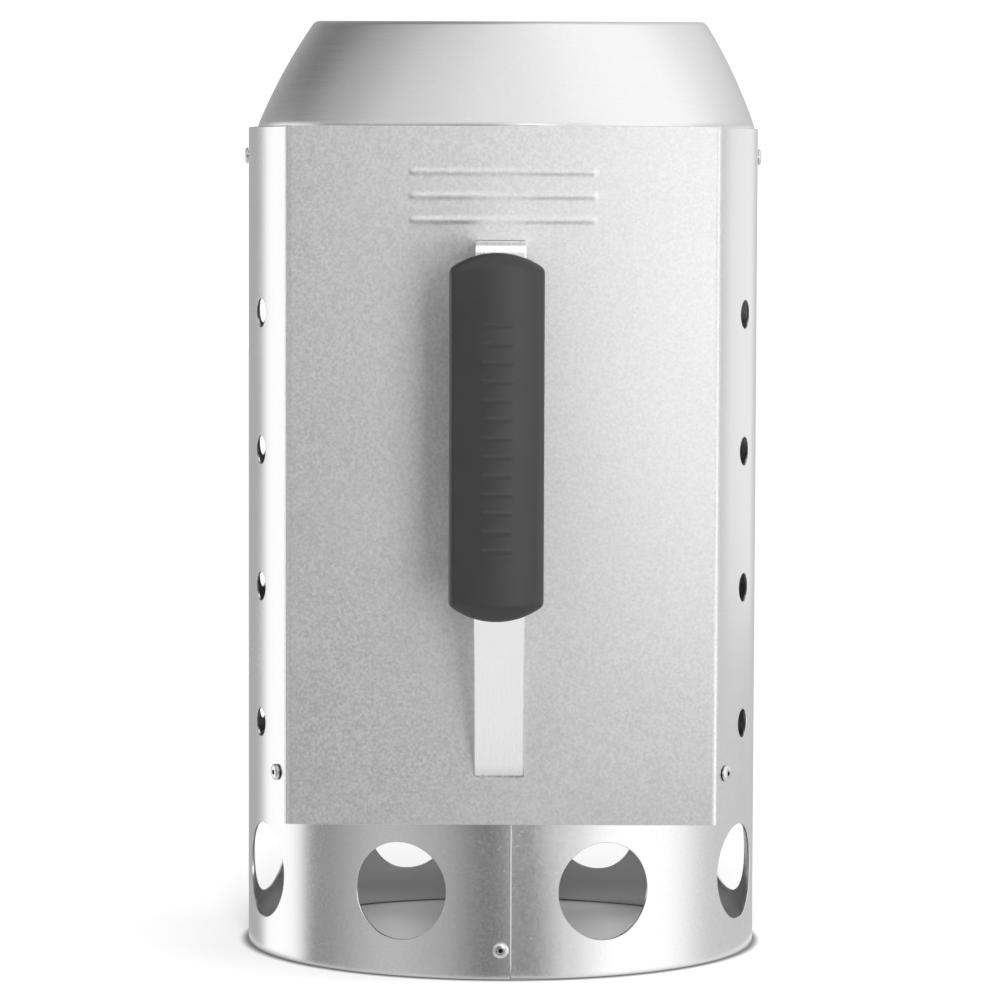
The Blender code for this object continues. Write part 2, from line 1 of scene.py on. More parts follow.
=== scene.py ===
"""The looks of a chimney charcoal starter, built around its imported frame.

Metres, in the frame's axes: the body stands on Z = 0 with its handle toward -Y. Sheet pieces are made as
the real ones are: a flat blank is punched, pressed and then bent along a section line. Angles are in
degrees from the front line (-Y) toward +X.
"""

import math

import bmesh
import bpy
from mathutils import Matrix, Vector


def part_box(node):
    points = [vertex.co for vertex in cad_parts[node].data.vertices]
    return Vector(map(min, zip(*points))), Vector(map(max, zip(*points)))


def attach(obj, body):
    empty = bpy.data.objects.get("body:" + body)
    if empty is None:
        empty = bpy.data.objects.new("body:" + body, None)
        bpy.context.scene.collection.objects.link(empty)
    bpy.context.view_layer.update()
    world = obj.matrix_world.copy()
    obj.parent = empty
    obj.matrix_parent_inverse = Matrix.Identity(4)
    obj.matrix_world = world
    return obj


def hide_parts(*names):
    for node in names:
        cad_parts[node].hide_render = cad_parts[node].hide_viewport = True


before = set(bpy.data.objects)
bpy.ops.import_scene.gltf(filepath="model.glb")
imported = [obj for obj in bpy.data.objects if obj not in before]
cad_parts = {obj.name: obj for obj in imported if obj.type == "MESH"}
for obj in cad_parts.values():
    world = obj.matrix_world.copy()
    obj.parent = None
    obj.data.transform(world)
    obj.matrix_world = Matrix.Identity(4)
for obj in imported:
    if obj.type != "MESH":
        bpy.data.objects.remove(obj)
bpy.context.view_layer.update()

MM = 0.001
GAP = 0.3 * MM
SHEET = 0.8 * MM
EDGE_BREAK = 0.12 * MM  # how far a sheared or punched edge is broken
BODY_EDGE = 0.3 * MM  # the body's own edges are rolled smooth
SHARP_DEG = 30
GRIP_SHARP_DEG = 40

# How many sides round shapes are made with, and steps curves
CONE_SIDES = 240
GRATE_SIDES = 180
BASE_VENT_SIDES = 72
SIDE_VENT_SIDES = 36
GRATE_HOLE_SIDES = 40
FASTENER_SIDES = 40
BORE_SIDES = 24
STRAP_BEND_STEPS = 14
SHIELD_BEND_STEPS = 10
CONE_BEND_STEPS = 6
CONE_WALL_STEPS = 16
LIP_STEPS = 14
RIVET_DOME_STEPS = 9
SCREW_DOME_STEPS = 8
PUNCHED_HOLE_SIDES = 20
FLOOR_SIDES = 96

# Rolled body
BODY_RADIUS = 90.0 * MM
BODY_HEIGHT = 288.8 * MM
SEAM_DEG = 2.3  # free edge of the outer layer at the lap seam
LAP_DEG = 7.6  # how far the inner layer runs on under it
JOGGLE_DEG = 12.0  # where the sheet draws in by its own thickness
COLUMN_DEG = 1.5  # spacing of the rolled sheet's grid

# Holes in the body
BASE_VENT_DEGS = (23.2, 67.3, 110.5, 156.5, -157.5, -107.7, -67.3, -22.5)
SIDE_VENT_DEGS = (22.5, 70.0, 110.0, 157.5, -157.5, -105.6, -69.3, -22.5)
BASE_VENT_RADIUS = 16.65 * MM
BASE_VENT_Z = 29.4 * MM
SIDE_VENT_RADIUS = 5.0 * MM
SIDE_VENT_LEVELS = [224.1 * MM - i * 47.7 * MM for i in range(4)]
RIVET_HOLE_RADIUS = 2.0 * MM

# Blind rivets
RIVET_HEAD_RADIUS = 2.85 * MM
RIVET_HEAD_HEIGHT = 1.1 * MM
RIVET_RIM = 0.25 * MM
RIVET_STEM_RADIUS = 1.55 * MM
RIVET_BULB_RADIUS = 2.3 * MM
RIVET_BULB_LENGTH = 2.6 * MM
MANDREL_RADIUS = 0.85 * MM
MANDREL_DEPTH = 0.9 * MM
MANDREL_HOLE_BREAK = 0.1 * MM

# Cone top
SKIRT_RADIUS = 87.7 * MM
SKIRT_LOW_Z = 264.0 * MM
CONE_START_Z = 288.5 * MM
CONE_BEND_RADIUS = 6.0 * MM
CONE_START_DEG = 20.9
CONE_END_DEG = 33.1
CONE_WALL_RISE = 34.4 * MM
LIP_RADIUS = 3.2 * MM
LIP_END_DEG = 130.0
MOUTH_TILT_DEG = 2.1
CONE_OFFSET_X = 1.0 * MM
MOUTH_LEAN_X = 1.3 * MM

# Grate
GRATE_SHEET = 1.2 * MM
GRATE_RADIUS = 87.7 * MM
GRATE_LOW_Z = 57.0 * MM
GRATE_SHOULDER_Z = 72.5 * MM
GRATE_SLOPE_DEG = 22.0
GRATE_BEND_RADIUS = 3.0 * MM
GRATE_CENTRE_RADIUS = 9.0 * MM
GRATE_HOLE_RADIUS = 6.0 * MM
GRATE_RINGS = ((30.0 * MM, 6), (50.0 * MM, 10), (70.0 * MM, 14))

# Heat shield
SHIELD_FRONT_Y = -103.0 * MM
SHIELD_HALF_WIDTH = 72.6 * MM
SHIELD_LOW_Z = 54.8 * MM
SHIELD_HIGH_Z = 288.2 * MM
SHIELD_BEND_RADIUS = 1.7 * MM
SHIELD_FOOT_DEG = 43.6
RIB_LEVELS = (257.0 * MM, 265.0 * MM, 273.0 * MM)
RIB_HALF_LENGTH = 30.0 * MM
RIB_HALF_WIDTH = 1.5 * MM
RIB_HEIGHT = 0.28 * MM
RIB_GRID = 0.5 * MM

# Handle: strap and grip
STRAP_X = -0.8 * MM
GRIP_X = -1.9 * MM
STRAP = 1.8 * MM
STRAP_WIDTH = 16.4 * MM
STRAP_EDGE = 0.3 * MM
STRAP_BEND_RADIUS = 2.5 * MM
STRAP_HEEL_RADIUS = 1.26 * MM
STRAP_ARM_Z = 249.3 * MM
STRAP_CORNER_Z = 134.0 * MM
STRAP_SLOT_Z = 72.4 * MM
UPPER_FOOT_END_Z = 226.0 * MM
LOWER_FOOT_END_Z = 96.0 * MM
SLOT_WIDTH = 16.6 * MM
SLOT_CORNER = 0.6 * MM
SLOT_LEVELS = ((248.3 * MM, 250.3 * MM), (70.6 * MM, 74.2 * MM))
GRIP_FRONT_Y = -171.0 * MM
GRIP_BACK_Y = -150.5 * MM
GRIP_HALF_WIDTH = 15.25 * MM
GRIP_LOW_Z = 129.05 * MM
GRIP_HIGH_Z = 247.0 * MM
GRIP_END_SAGITTA = 5.2 * MM
GRIP_CORNER_RADIUS = 2.5 * MM
GRIP_CROWN = 2.2 * MM
GRIP_SIDE_ROLL = (2.6 * MM, 2.4 * MM)  # width and depth of the rounding along the sides
GRIP_END_ROLL = (6.0 * MM, 3.4 * MM)  # and at the ends
GRIP_RIM_SHARES = (0.0, 0.003, 0.012, 0.03, 0.055, 0.09, 0.13, 0.18)  # close rings where it rolls over
GRIP_FRONT_RINGS = 26
GRIP_FRONT_SPACING = 0.4 * MM
GRIP_REAR_SPACING = 1.2 * MM
GROOVE_WIDTH = 19.2 * MM
RELIEF_SIZE = 40.0 * MM
TACTILE_LOW_Z = 152.0 * MM
TACTILE_HIGH_Z = 224.0 * MM
TACTILE_COUNT = 13
TACTILE_HALF_LENGTH = 5.2 * MM
TACTILE_HALF_WIDTH = 0.9 * MM
TACTILE_HEIGHT = 0.35 * MM

# Screws that clamp the grip
SCREW_LEVELS = (160.0 * MM, 217.0 * MM)
SCREW_HEAD_RADIUS = 3.3 * MM
SCREW_HEAD_HEIGHT = 2.2 * MM
SCREW_SHANK_RADIUS = 1.5 * MM
SCREW_LENGTH = 11.5 * MM
SCREW_SEAT_Y = -155.5 * MM
SCREW_CLEARANCE = 0.4 * MM
SCREW_SEAT_CLEARANCE = 0.5 * MM
SCREW_RIM = 0.6 * MM
SCREW_POINT = 1.0 * MM
SCREW_DOME_DEG = 75
SCREW_RECESS_REACH = 1.9 * MM
SCREW_RECESS_HALF_WIDTH = 0.38 * MM
SCREW_RECESS_DEPTH = 1.2 * MM

# Where the rivets are: levels, and angles around the body
CONE_RIVET_Z = 278.9 * MM
GRATE_RIVET_Z = 65.0 * MM
SEAM_RIVETS = {"seam_rivet_low": 10.2 * MM, "seam_rivet_mid": 160.0 * MM}
STRAP_RIVETS = {
    "strap_rivet_top": 240.5 * MM,
    "strap_rivet_upper": 231.0 * MM,
    "strap_rivet_lower": 90.5 * MM,
    "strap_rivet_bottom": 81.0 * MM,
}
SHIELD_RIVET_DEG = 46.8
SHIELD_RIVET_LEVELS = {"low": 95.0 * MM, "high": 250.0 * MM}
CONE_RIVET_DEGS = {"front": 0, "right": 90, "back": 180, "left": 270}
GRATE_RIVET_DEGS = {"left": -60, "right": 60, "back": 180}

STRAP_GRIP_Y = -162.5 * MM
STRAP_FOOT_Y = -(BODY_RADIUS + GAP + STRAP / 2)
STRAP_DEG = math.degrees(math.asin(STRAP_X / BODY_RADIUS))

grate_low, grate_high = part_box("charcoal_grate")
AXIS = Vector((0.0, (grate_low.y + grate_high.y) / 2, 0.0))  # the cylinder's axis meets the floor here


# ---- making and placing pieces ----


def polar(radius, degrees, z=0.0):
    angle = math.radians(degrees)
    return Vector((radius * math.sin(angle), -radius * math.cos(angle), z))


def new_object(name, maker):
    """An object from a filled bmesh, with its faces turned outward."""
    bmesh.ops.recalc_face_normals(maker, faces=maker.faces)
    mesh = bpy.data.meshes.new(name)
    maker.to_mesh(mesh)
    maker.free()
    made = bpy.data.objects.new(name, mesh)
    bpy.context.scene.collection.objects.link(made)
    return made


def carve(target, cutter_maker):
    """Cuts the closed bodies of a bmesh out of an object, for good."""
    cutter = new_object("cutter", cutter_maker)
    boolean = target.modifiers.new("carve", "BOOLEAN")
    boolean.solver = "EXACT"
    boolean.object = cutter
    graph = bpy.context.evaluated_depsgraph_get()
    carved = bpy.data.meshes.new_from_object(target.evaluated_get(graph))
    target.modifiers.clear()
    target.data = carved
    bpy.data.objects.remove(cutter)


def shade(made, degrees=SHARP_DEG):
    made.data.shade_smooth()
    made.data.set_sharp_from_angle(angle=math.radians(degrees))


def settle(made, node, slot, *materials):
    """Puts a finished piece on the axis in place of its CAD node."""
    made.name = "fine_" + node
    made.data.materials.clear()
    for each in materials:
        made.data.materials.append(each)
    made.location += AXIS
    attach(made, "root")
    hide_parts(node)
    return made


# ---- lines and turned shapes ----


def arc(centre, radius, start_deg, end_deg, steps):
    points = []
    for i in range(steps + 1):
        angle = math.radians(start_deg + (end_deg - start_deg) * i / steps)
        points.append((centre[0] + radius * math.cos(angle), centre[1] + radius * math.sin(angle)))
    return points


def fillet(points, radii, steps=4):
    """Rounds the inner corners of an open path; radii maps a corner's index to its radius."""
    rounded = []
    for i, point in enumerate(points):
        if i not in radii:
            rounded.append(point)
            continue
        corner = Vector(point)
        before = (Vector(points[i - 1]) - corner).normalized()
        after = (Vector(points[(i + 1) % len(points)]) - corner).normalized()
        half = before.angle(after) / 2
        centre = corner + (before + after).normalized() * radii[i] / math.sin(half)
        first = corner + before * radii[i] / math.tan(half) - centre
        turn = first.angle_signed(corner + after * radii[i] / math.tan(half) - centre)
        for k in range(steps + 1):
            spoke = first.copy()
            spoke.rotate(Matrix.Rotation(-turn * k / steps, 2))
            rounded.append(tuple(centre + spoke))
    return rounded


def offset_path(points, distance):
    """The path moved sideways by distance, to its left, with mitred corners."""
    moved = []
    last = len(points) - 1
    for i, point in enumerate(points):
        ahead = (Vector(points[min(i + 1, last)]) - Vector(points[min(i, last - 1)])).normalized()
        behind = (Vector(points[max(i, 1)]) - Vector(points[max(i - 1, 0)])).normalized()
        left = Vector((-ahead.y - behind.y, ahead.x + behind.x)).normalized()
        stretch = left.dot(Vector((-ahead.y, ahead.x)))
        moved.append(tuple(Vector(point) + left * distance / stretch))
    return moved


def revolve(profile, segments, ring=False):
    """Turns (radius, z) points about the Z axis; a ring's profile closes on itself."""
    made = bmesh.new()
    rows = []
    for radius, z in profile:
        if radius == 0.0:
            rows.append([made.verts.new((0.0, 0.0, z))] * segments)
        else:
            rows.append([made.verts.new(polar(radius, 360 * i / segments, z)) for i in range(segments)])
    for one, two in zip(rows, rows[1:] + rows[:1] if ring else rows[1:]):
        for i in range(segments):
            j = (i + 1) % segments
            corners = list(dict.fromkeys((one[i], one[j], two[j], two[i])))
            if len(corners) > 2:
                made.faces.new(corners)
    return made


def drill(made, start, end, radius, segments):
    """Adds a closed cylinder from start to end to a cutter."""
    start, end = Vector(start), Vector(end)
    turn = (end - start).to_track_quat("Z", "Y").to_matrix().to_4x4()
    bmesh.ops.create_cone(
        made,
        cap_ends=True,
        segments=segments,
        radius1=radius,
        radius2=radius,
        depth=(end - start).length,
        matrix=Matrix.Translation((start + end) / 2) @ turn,
    )


def drill_wall(made, degrees, z):
    """A radial rivet hole through what is near the body's wall."""
    reach = 8 * MM
    inside = polar(BODY_RADIUS - reach, degrees, z)
    outside = polar(BODY_RADIUS + reach, degrees, z)
    drill(made, inside, outside, RIVET_HOLE_RADIUS, BORE_SIDES)


# ---- sheet metal: a blank is flat (length, depth, level), with its depth growing to the line's left ----


def blank(lengths, levels, near, far, edge=EDGE_BREAK):
    """A flat sheet on a grid, with all its outer edges broken."""
    made = bmesh.new()
    near_face = [[made.verts.new((s, near, z)) for z in levels] for s in lengths]
    far_face = [[made.verts.new((s, far, z)) for z in levels] for s in lengths]
    for face in (near_face, far_face):
        for one, two in zip(face, face[1:]):
            for k in range(len(levels) - 1):
                made.faces.new((one[k], one[k + 1], two[k + 1], two[k]))
    borders = []
    for face in (near_face, far_face):
        along_top = [row[-1] for row in face]
        along_bottom = [row[0] for row in face]
        borders.append(face[0][:-1] + along_top[:-1] + face[-1][:0:-1] + along_bottom[:0:-1])
    count = len(borders[0])
    for i in range(count):
        j = (i + 1) % count
        made.faces.new((borders[0][i], borders[0][j], borders[1][j], borders[1][i]))
    bmesh.ops.recalc_face_normals(made, faces=made.faces)
    square_edges = [e for e in made.edges if e.calc_face_angle() > 1.0]
    bmesh.ops.bevel(made, geom=square_edges, offset=edge, segments=1, affect="EDGES")
    return made


def round_hole(length, level, radius, sides):
    """The outline of a round hole in a blank, grown by any amount."""

    def outline(grow):
        size = radius + grow
        angles = [2 * math.pi * (i + 0.5) / sides for i in range(sides)]
        return [(length + size * math.cos(a), level + size * math.sin(a)) for a in angles]

    return outline


def slot_hole(middle, half_width, low, high):
    """The outline of a slot with small round corners, grown by any amount."""

    def outline(grow):
        left, right = middle - half_width - grow, middle + half_width + grow
        bottom, top = low - grow, high + grow
        corners = [(left, bottom), (right, bottom), (right, top), (left, top)]
        return fillet(corners, dict.fromkeys(range(4), SLOT_CORNER + grow))

    return outline


def punch(made, outline, near, far):
    """Adds a punch to a cutter. It flares at both faces, so the hole's edges are broken."""
    flare = EDGE_BREAK + MM
    stages = (
        (near - MM, flare),
        (near + EDGE_BREAK, 0.0),
        (far - EDGE_BREAK, 0.0),
        (far + MM, flare),
    )
    rings = [[made.verts.new((s, depth, z)) for s, z in outline(grow)] for depth, grow in stages]
    for one, two in zip(rings, rings[1:]):
        for i in range(len(one)):
            j = (i + 1) % len(one)
            made.faces.new((one[i], one[j], two[j], two[i]))
    made.faces.new(rings[0])
    made.faces.new(rings[-1])


def corner_runs(corners, radii):
    """A line through these corners as (length, turn in degrees) runs, straight or round."""
    legs = [Vector(b) - Vector(a) for a, b in zip(corners, corners[1:])]
    turns = [-one.angle_signed(two) for one, two in zip(legs, legs[1:])]
    cuts = [0.0] + [radius * math.tan(abs(turn) / 2) for radius, turn in zip(radii, turns)] + [0.0]
    runs = []
    for i, leg in enumerate(legs):
        runs.append((leg.length - cuts[i] - cuts[i + 1], 0.0))
        if i < len(turns):
            runs.append((radii[i] * abs(turns[i]), math.degrees(turns[i])))
    return runs


def run_line(start, heading_deg, runs):
    """A section line: for a distance along the runs it gives the point and the direction to its left."""

    def at(distance):
        point, heading = Vector(start), math.radians(heading_deg)
        for i, (length, turn_deg) in enumerate(runs):
            last = i == len(runs) - 1
            step = distance if last else min(distance, length)
            turn = math.radians(turn_deg) * step / length
            chord = 2 * math.sin(turn / 2) * step / turn if turn else step
            middle = heading + turn / 2
            point += chord * Vector((math.cos(middle), math.sin(middle)))
            heading += turn
            distance -= step
            if distance <= 0 and not last:
                break
        return point, Vector((-math.sin(heading), math.cos(heading)))

    return at


def run_stations(runs, bend_steps):
    """Where a blank needs grid lines to follow the runs: the ends of each, and steps round each bend."""
    stations = [0.0]
    for length, turn_deg in runs:
        steps = bend_steps if turn_deg else 1
        start = stations[-1]
        stations += [start + length * (i + 1) / steps for i in range(steps)]
    return stations


def upright(u, v, w):
    return Vector((u, v, w))


def across(u, v, w):
    return Vector((w, u, v))


def bend(made, line, place):
    """Carries a flat sheet's points, and the normals that it is shaded with, onto a section line."""
    shade(made)
    mesh = made.data
    frames = [line(vert.co.x) for vert in mesh.vertices]
    normals = []
    for loop, corner in zip(mesh.loops, mesh.corner_normals):
        left = frames[loop.vertex_index][1]
        ahead = Vector((left.y, -left.x))
        flat = ahead * corner.vector.x + left * corner.vector.y
        normals.append(place(flat.x, flat.y, corner.vector.z).normalized())
    for vert, (point, left) in zip(mesh.vertices, frames):
        moved = point + left * vert.co.y
        vert.co = place(moved.x, moved.y, vert.co.z)
    mesh.normals_split_custom_set(normals)


# ---- the pieces ----


def wall_radius(degrees):
    """Outer radius of the rolled sheet, which joggles in by its own thickness before the lap."""
    share = (SEAM_DEG - degrees - (360 - JOGGLE_DEG)) / JOGGLE_DEG
    share = min(max(share, 0.0), 1.0)
    return BODY_RADIUS - (SHEET + GAP) * share * share * (3 - 2 * share)


def body_shell(material):
    first_deg = SEAM_DEG - 360 - LAP_DEG

    def length_at(degrees):
        return BODY_RADIUS * math.radians(degrees - first_deg)

    def line(length):
        degrees = first_deg + math.degrees(length / BODY_RADIUS)
        step = 0.05
        before = polar(wall_radius(degrees - step), degrees - step)
        after = polar(wall_radius(degrees + step), degrees + step)
        ahead = (after - before).normalized()
        return polar(wall_radius(degrees), degrees).xy, Vector((-ahead.y, ahead.x))

    columns = round((360 + LAP_DEG) / COLUMN_DEG)
    full = length_at(SEAM_DEG)
    lengths = [full * i / columns for i in range(columns + 1)]
    shell = new_object("shell", blank(lengths, (0.0, BODY_HEIGHT), 0.0, SHEET, BODY_EDGE))

    holes = [(deg, BASE_VENT_Z, BASE_VENT_RADIUS, BASE_VENT_SIDES) for deg in BASE_VENT_DEGS]
    side_vents = [(deg, z) for deg in SIDE_VENT_DEGS for z in SIDE_VENT_LEVELS]
    holes += [(deg, z, SIDE_VENT_RADIUS, SIDE_VENT_SIDES) for deg, z in side_vents]
    rivets = [(deg, CONE_RIVET_Z) for deg in CONE_RIVET_DEGS.values()]
    rivets += [(deg, GRATE_RIVET_Z) for deg in GRATE_RIVET_DEGS.values()]
    rivets += [(0, z) for z in SEAM_RIVETS.values()]
    rivets += [(STRAP_DEG, z) for z in STRAP_RIVETS.values()]
    rivets += [(side * SHIELD_RIVET_DEG, z) for side in (-1, 1) for z in SHIELD_RIVET_LEVELS.values()]
    holes += [(deg, z, RIVET_HOLE_RADIUS, PUNCHED_HOLE_SIDES) for deg, z in rivets]
    punches = bmesh.new()
    for degrees, z, radius, sides in holes:
        for turn in (0, 360, 720):
            length = length_at(degrees - turn)
            if radius < length < full - radius:
                punch(punches, round_hole(length, z, radius, sides), 0.0, SHEET)
    carve(shell, punches)
    bend(shell, line, upright)
    return settle(shell, "body_shell", "body_steel", material)


def cone_path():
    """The cone's outer line: skirt, bend at the rim, a slightly bulging wall, and a lip rolled inward."""
    path = [(SKIRT_RADIUS, SKIRT_LOW_Z), (SKIRT_RADIUS, CONE_START_Z)]
    bend_centre = (SKIRT_RADIUS - CONE_BEND_RADIUS, CONE_START_Z)
    path += arc(bend_centre, CONE_BEND_RADIUS, 0, CONE_START_DEG, CONE_BEND_STEPS)[1:]
    start = path[-1]
    turn = math.sin(math.radians(CONE_END_DEG)) - math.sin(math.radians(CONE_START_DEG))
    bulge = CONE_WALL_RISE / turn
    wall_centre = (
        start[0] - bulge * math.cos(math.radians(CONE_START_DEG)),
        start[1] - bulge * math.sin(math.radians(CONE_START_DEG)),
    )
    path += arc(wall_centre, bulge, CONE_START_DEG, CONE_END_DEG, CONE_WALL_STEPS)[1:]
    end = path[-1]
    lip_centre = (
        end[0] - LIP_RADIUS * math.cos(math.radians(CONE_END_DEG)),
        end[1] - LIP_RADIUS * math.sin(math.radians(CONE_END_DEG)),
    )
    path += arc(lip_centre, LIP_RADIUS, CONE_END_DEG, LIP_END_DEG, LIP_STEPS)[1:]
    return path


def top_cone(material):
    path = cone_path()
    top_z = max(z for _, z in path)
    made = revolve(path + offset_path(path, SHEET)[::-1], CONE_SIDES, ring=True)
    for vert in made.verts:
        share = max(vert.co.z - CONE_START_Z, 0.0) / (top_z - CONE_START_Z)
        vert.co.z += share * vert.co.y * math.tan(math.radians(MOUTH_TILT_DEG))
        vert.co.x += CONE_OFFSET_X + share * MOUTH_LEAN_X
    cone = new_object("cone", made)
    holes = bmesh.new()
    for degrees in CONE_RIVET_DEGS.values():
        drill_wall(holes, degrees, CONE_RIVET_Z)
    carve(cone, holes)
    shade(cone)
    return settle(cone, "top_cone", "cone_steel", material)


def charcoal_grate(material):
    """An inverted pan: a skirt riveted inside the body, and a low perforated cone that rises from it."""
    rise = (GRATE_RADIUS - GRATE_CENTRE_RADIUS) * math.tan(math.radians(GRATE_SLOPE_DEG))
    corners = [
        (GRATE_RADIUS, GRATE_LOW_Z),
        (GRATE_RADIUS, GRATE_SHOULDER_Z),
        (GRATE_CENTRE_RADIUS, GRATE_SHOULDER_Z + rise),
    ]
    path = fillet(corners, {1: GRATE_BEND_RADIUS}, steps=6)
    section = path + offset_path(path, GRATE_SHEET)[::-1]
    grate = new_object("grate", revolve(section, GRATE_SIDES, ring=True))
    holes = bmesh.new()
    for radius, count in GRATE_RINGS:
        for i in range(count):
            place = polar(radius, 360 * i / count)
            top = place + Vector((0, 0, BODY_HEIGHT / 2))
            drill(holes, place, top, GRATE_HOLE_RADIUS, GRATE_HOLE_SIDES)
    for degrees in GRATE_RIVET_DEGS.values():
        drill_wall(holes, degrees, GRATE_RIVET_Z)
    carve(grate, holes)
    shade(grate)
    return settle(grate, "charcoal_grate", "grate_steel", material)


def rib_lift(length, level):
    """How far the stiffening ribs stand out of the shield's front."""
    lift = 0.0
    for rib_z in RIB_LEVELS:
        past_end = max(abs(length) - RIB_HALF_LENGTH, 0.0)
        distance = math.hypot(past_end, level - rib_z) / RIB_HALF_WIDTH
        if distance < 1:
            lift = RIB_HEIGHT * math.cos(distance * math.pi / 2) ** 2
    return lift


def shield_runs():
    """The right half of the shield's section, from the middle of its front to the end of its foot."""
    foot_radius = BODY_RADIUS + GAP + SHEET / 2
    flange_x = SHIELD_HALF_WIDTH - SHEET / 2
    edge_deg = math.degrees(math.asin(flange_x / foot_radius))
    fold = polar(foot_radius, edge_deg).xy
    foot_end = polar(foot_radius, SHIELD_FOOT_DEG).xy
    front_y = SHIELD_FRONT_Y + SHEET / 2
    corners = [(0.0, front_y), (flange_x, front_y), tuple(fold), tuple(foot_end)]
    runs = corner_runs(corners, [SHIELD_BEND_RADIUS, SHEET])
    foot_length = runs[-1][0]
    return runs[:-1] + [(foot_length, SHIELD_FOOT_DEG - edge_deg)], Vector((0.0, front_y))


def grid_line(low, high, step):
    count = math.ceil((high - low) / step)
    return [low + (high - low) * i / count for i in range(count + 1)]


def heat_shield(material):
    runs, start = shield_runs()
    right_half = run_line(start, 0.0, runs)

    def line(length):
        point, left = right_half(abs(length))
        if length < 0:
            point.x, left.x = -point.x, -left.x
        return point, left

    rib_end = RIB_HALF_LENGTH + 2 * RIB_HALF_WIDTH
    stations = [s for s in run_stations(runs, SHIELD_BEND_STEPS) if s > rib_end]
    lengths = [-s for s in reversed(stations)] + grid_line(-rib_end, rib_end, RIB_GRID) + stations
    rib_low, rib_high = RIB_LEVELS[0] - 2 * RIB_HALF_WIDTH, RIB_LEVELS[-1] + 2 * RIB_HALF_WIDTH
    levels = [SHIELD_LOW_Z] + grid_line(rib_low, rib_high, RIB_GRID) + [SHIELD_HIGH_Z]
    near, far = -SHEET / 2, SHEET / 2
    shield = new_object("shield", blank(lengths, levels, near, far))

    punches = bmesh.new()
    for low, high in SLOT_LEVELS:
        punch(punches, slot_hole(STRAP_X, SLOT_WIDTH / 2, low, high), near, far)
    total = sum(length for length, _ in runs)
    foot_radius = BODY_RADIUS + GAP + SHEET / 2
    rivet_length = total - foot_radius * math.radians(SHIELD_RIVET_DEG - SHIELD_FOOT_DEG)
    for side in (-1, 1):
        for z in SHIELD_RIVET_LEVELS.values():
            hole = round_hole(side * rivet_length, z, RIVET_HOLE_RADIUS, PUNCHED_HOLE_SIDES)
            punch(punches, hole, near, far)
    carve(shield, punches)
    for vert in shield.data.vertices:
        vert.co.y -= rib_lift(vert.co.x, vert.co.z)
    bend(shield, line, upright)
    return settle(shield, "heat_shield", "shield_steel", material)


def lower_arm_slope():
    """How far the strap's lower arm rises for each metre that it comes forward."""
    return (STRAP_CORNER_Z - STRAP_SLOT_Z) / (SHIELD_FRONT_Y + SHEET / 2 - STRAP_GRIP_Y)


def handle_strap(material):
    """Its section is seen from the side, from the upper foot's end to the lower foot's end."""
    heel_z = STRAP_CORNER_Z - lower_arm_slope() * (STRAP_FOOT_Y - STRAP_GRIP_Y)
    corners = [
        (STRAP_FOOT_Y, UPPER_FOOT_END_Z),
        (STRAP_FOOT_Y, STRAP_ARM_Z),
        (STRAP_GRIP_Y, STRAP_ARM_Z),
        (STRAP_GRIP_Y, STRAP_CORNER_Z),
        (STRAP_FOOT_Y, heel_z),
        (STRAP_FOOT_Y, LOWER_FOOT_END_Z),
    ]
    radii = [STRAP_BEND_RADIUS, STRAP_BEND_RADIUS, 2 * STRAP_BEND_RADIUS, STRAP_HEEL_RADIUS]
    runs = corner_runs(corners, radii)
    total = sum(length for length, _ in runs)
    near, far = -STRAP / 2, STRAP / 2
    sides = (STRAP_X - STRAP_WIDTH / 2, STRAP_X + STRAP_WIDTH / 2)
    strap = new_object("strap", blank(run_stations(runs, STRAP_BEND_STEPS), sides, near, far, STRAP_EDGE))
    punches = bmesh.new()
    rivet_levels = list(STRAP_RIVETS.values())
    rivet_lengths = [z - UPPER_FOOT_END_Z for z in rivet_levels[:2]]
    rivet_lengths += [total - (LOWER_FOOT_END_Z - z) for z in rivet_levels[2:]]
    for length in rivet_lengths:
        hole = round_hole(length, STRAP_X, RIVET_HOLE_RADIUS, PUNCHED_HOLE_SIDES)
        punch(punches, hole, near, far)
    grip_start = sum(length for length, _ in runs[:4])
    for z in SCREW_LEVELS:
        length = grip_start + STRAP_ARM_Z - STRAP_BEND_RADIUS - z
        hole = round_hole(length, GRIP_X, SCREW_SHANK_RADIUS + SCREW_CLEARANCE, PUNCHED_HOLE_SIDES)
        punch(punches, hole, near, far)
    carve(strap, punches)
    bend(strap, run_line(corners[0], 90.0, runs), across)
    return settle(strap, "handle_strap", "strap_steel", material)


def grip_outline(spacing):
    """The grip seen from the front, with bowed ends and small round corners; left mirrors right."""
    bow = (GRIP_HALF_WIDTH**2 + GRIP_END_SAGITTA**2) / (2 * GRIP_END_SAGITTA)
    sweep = math.degrees(math.asin(GRIP_HALF_WIDTH / bow))
    low_end = arc((0.0, GRIP_LOW_Z + bow), bow, 270, 270 + sweep, 12)
    high_end = arc((0.0, GRIP_HIGH_Z - bow), bow, 90 - sweep, 90, 12)
    corners = (12, 13)
    path = fillet(low_end + high_end, dict.fromkeys(corners, GRIP_CORNER_RADIUS), steps=8)
    right = [path[0]]
    for one, two in zip(path, path[1:]):
        steps = max(1, round(math.dist(one, two) / spacing))
        for k in range(1, steps + 1):
            share = k / steps
            right.append((one[0] + (two[0] - one[0]) * share, one[1] + (two[1] - one[1]) * share))
    return right + [(-x, z) for x, z in right[-2:0:-1]]


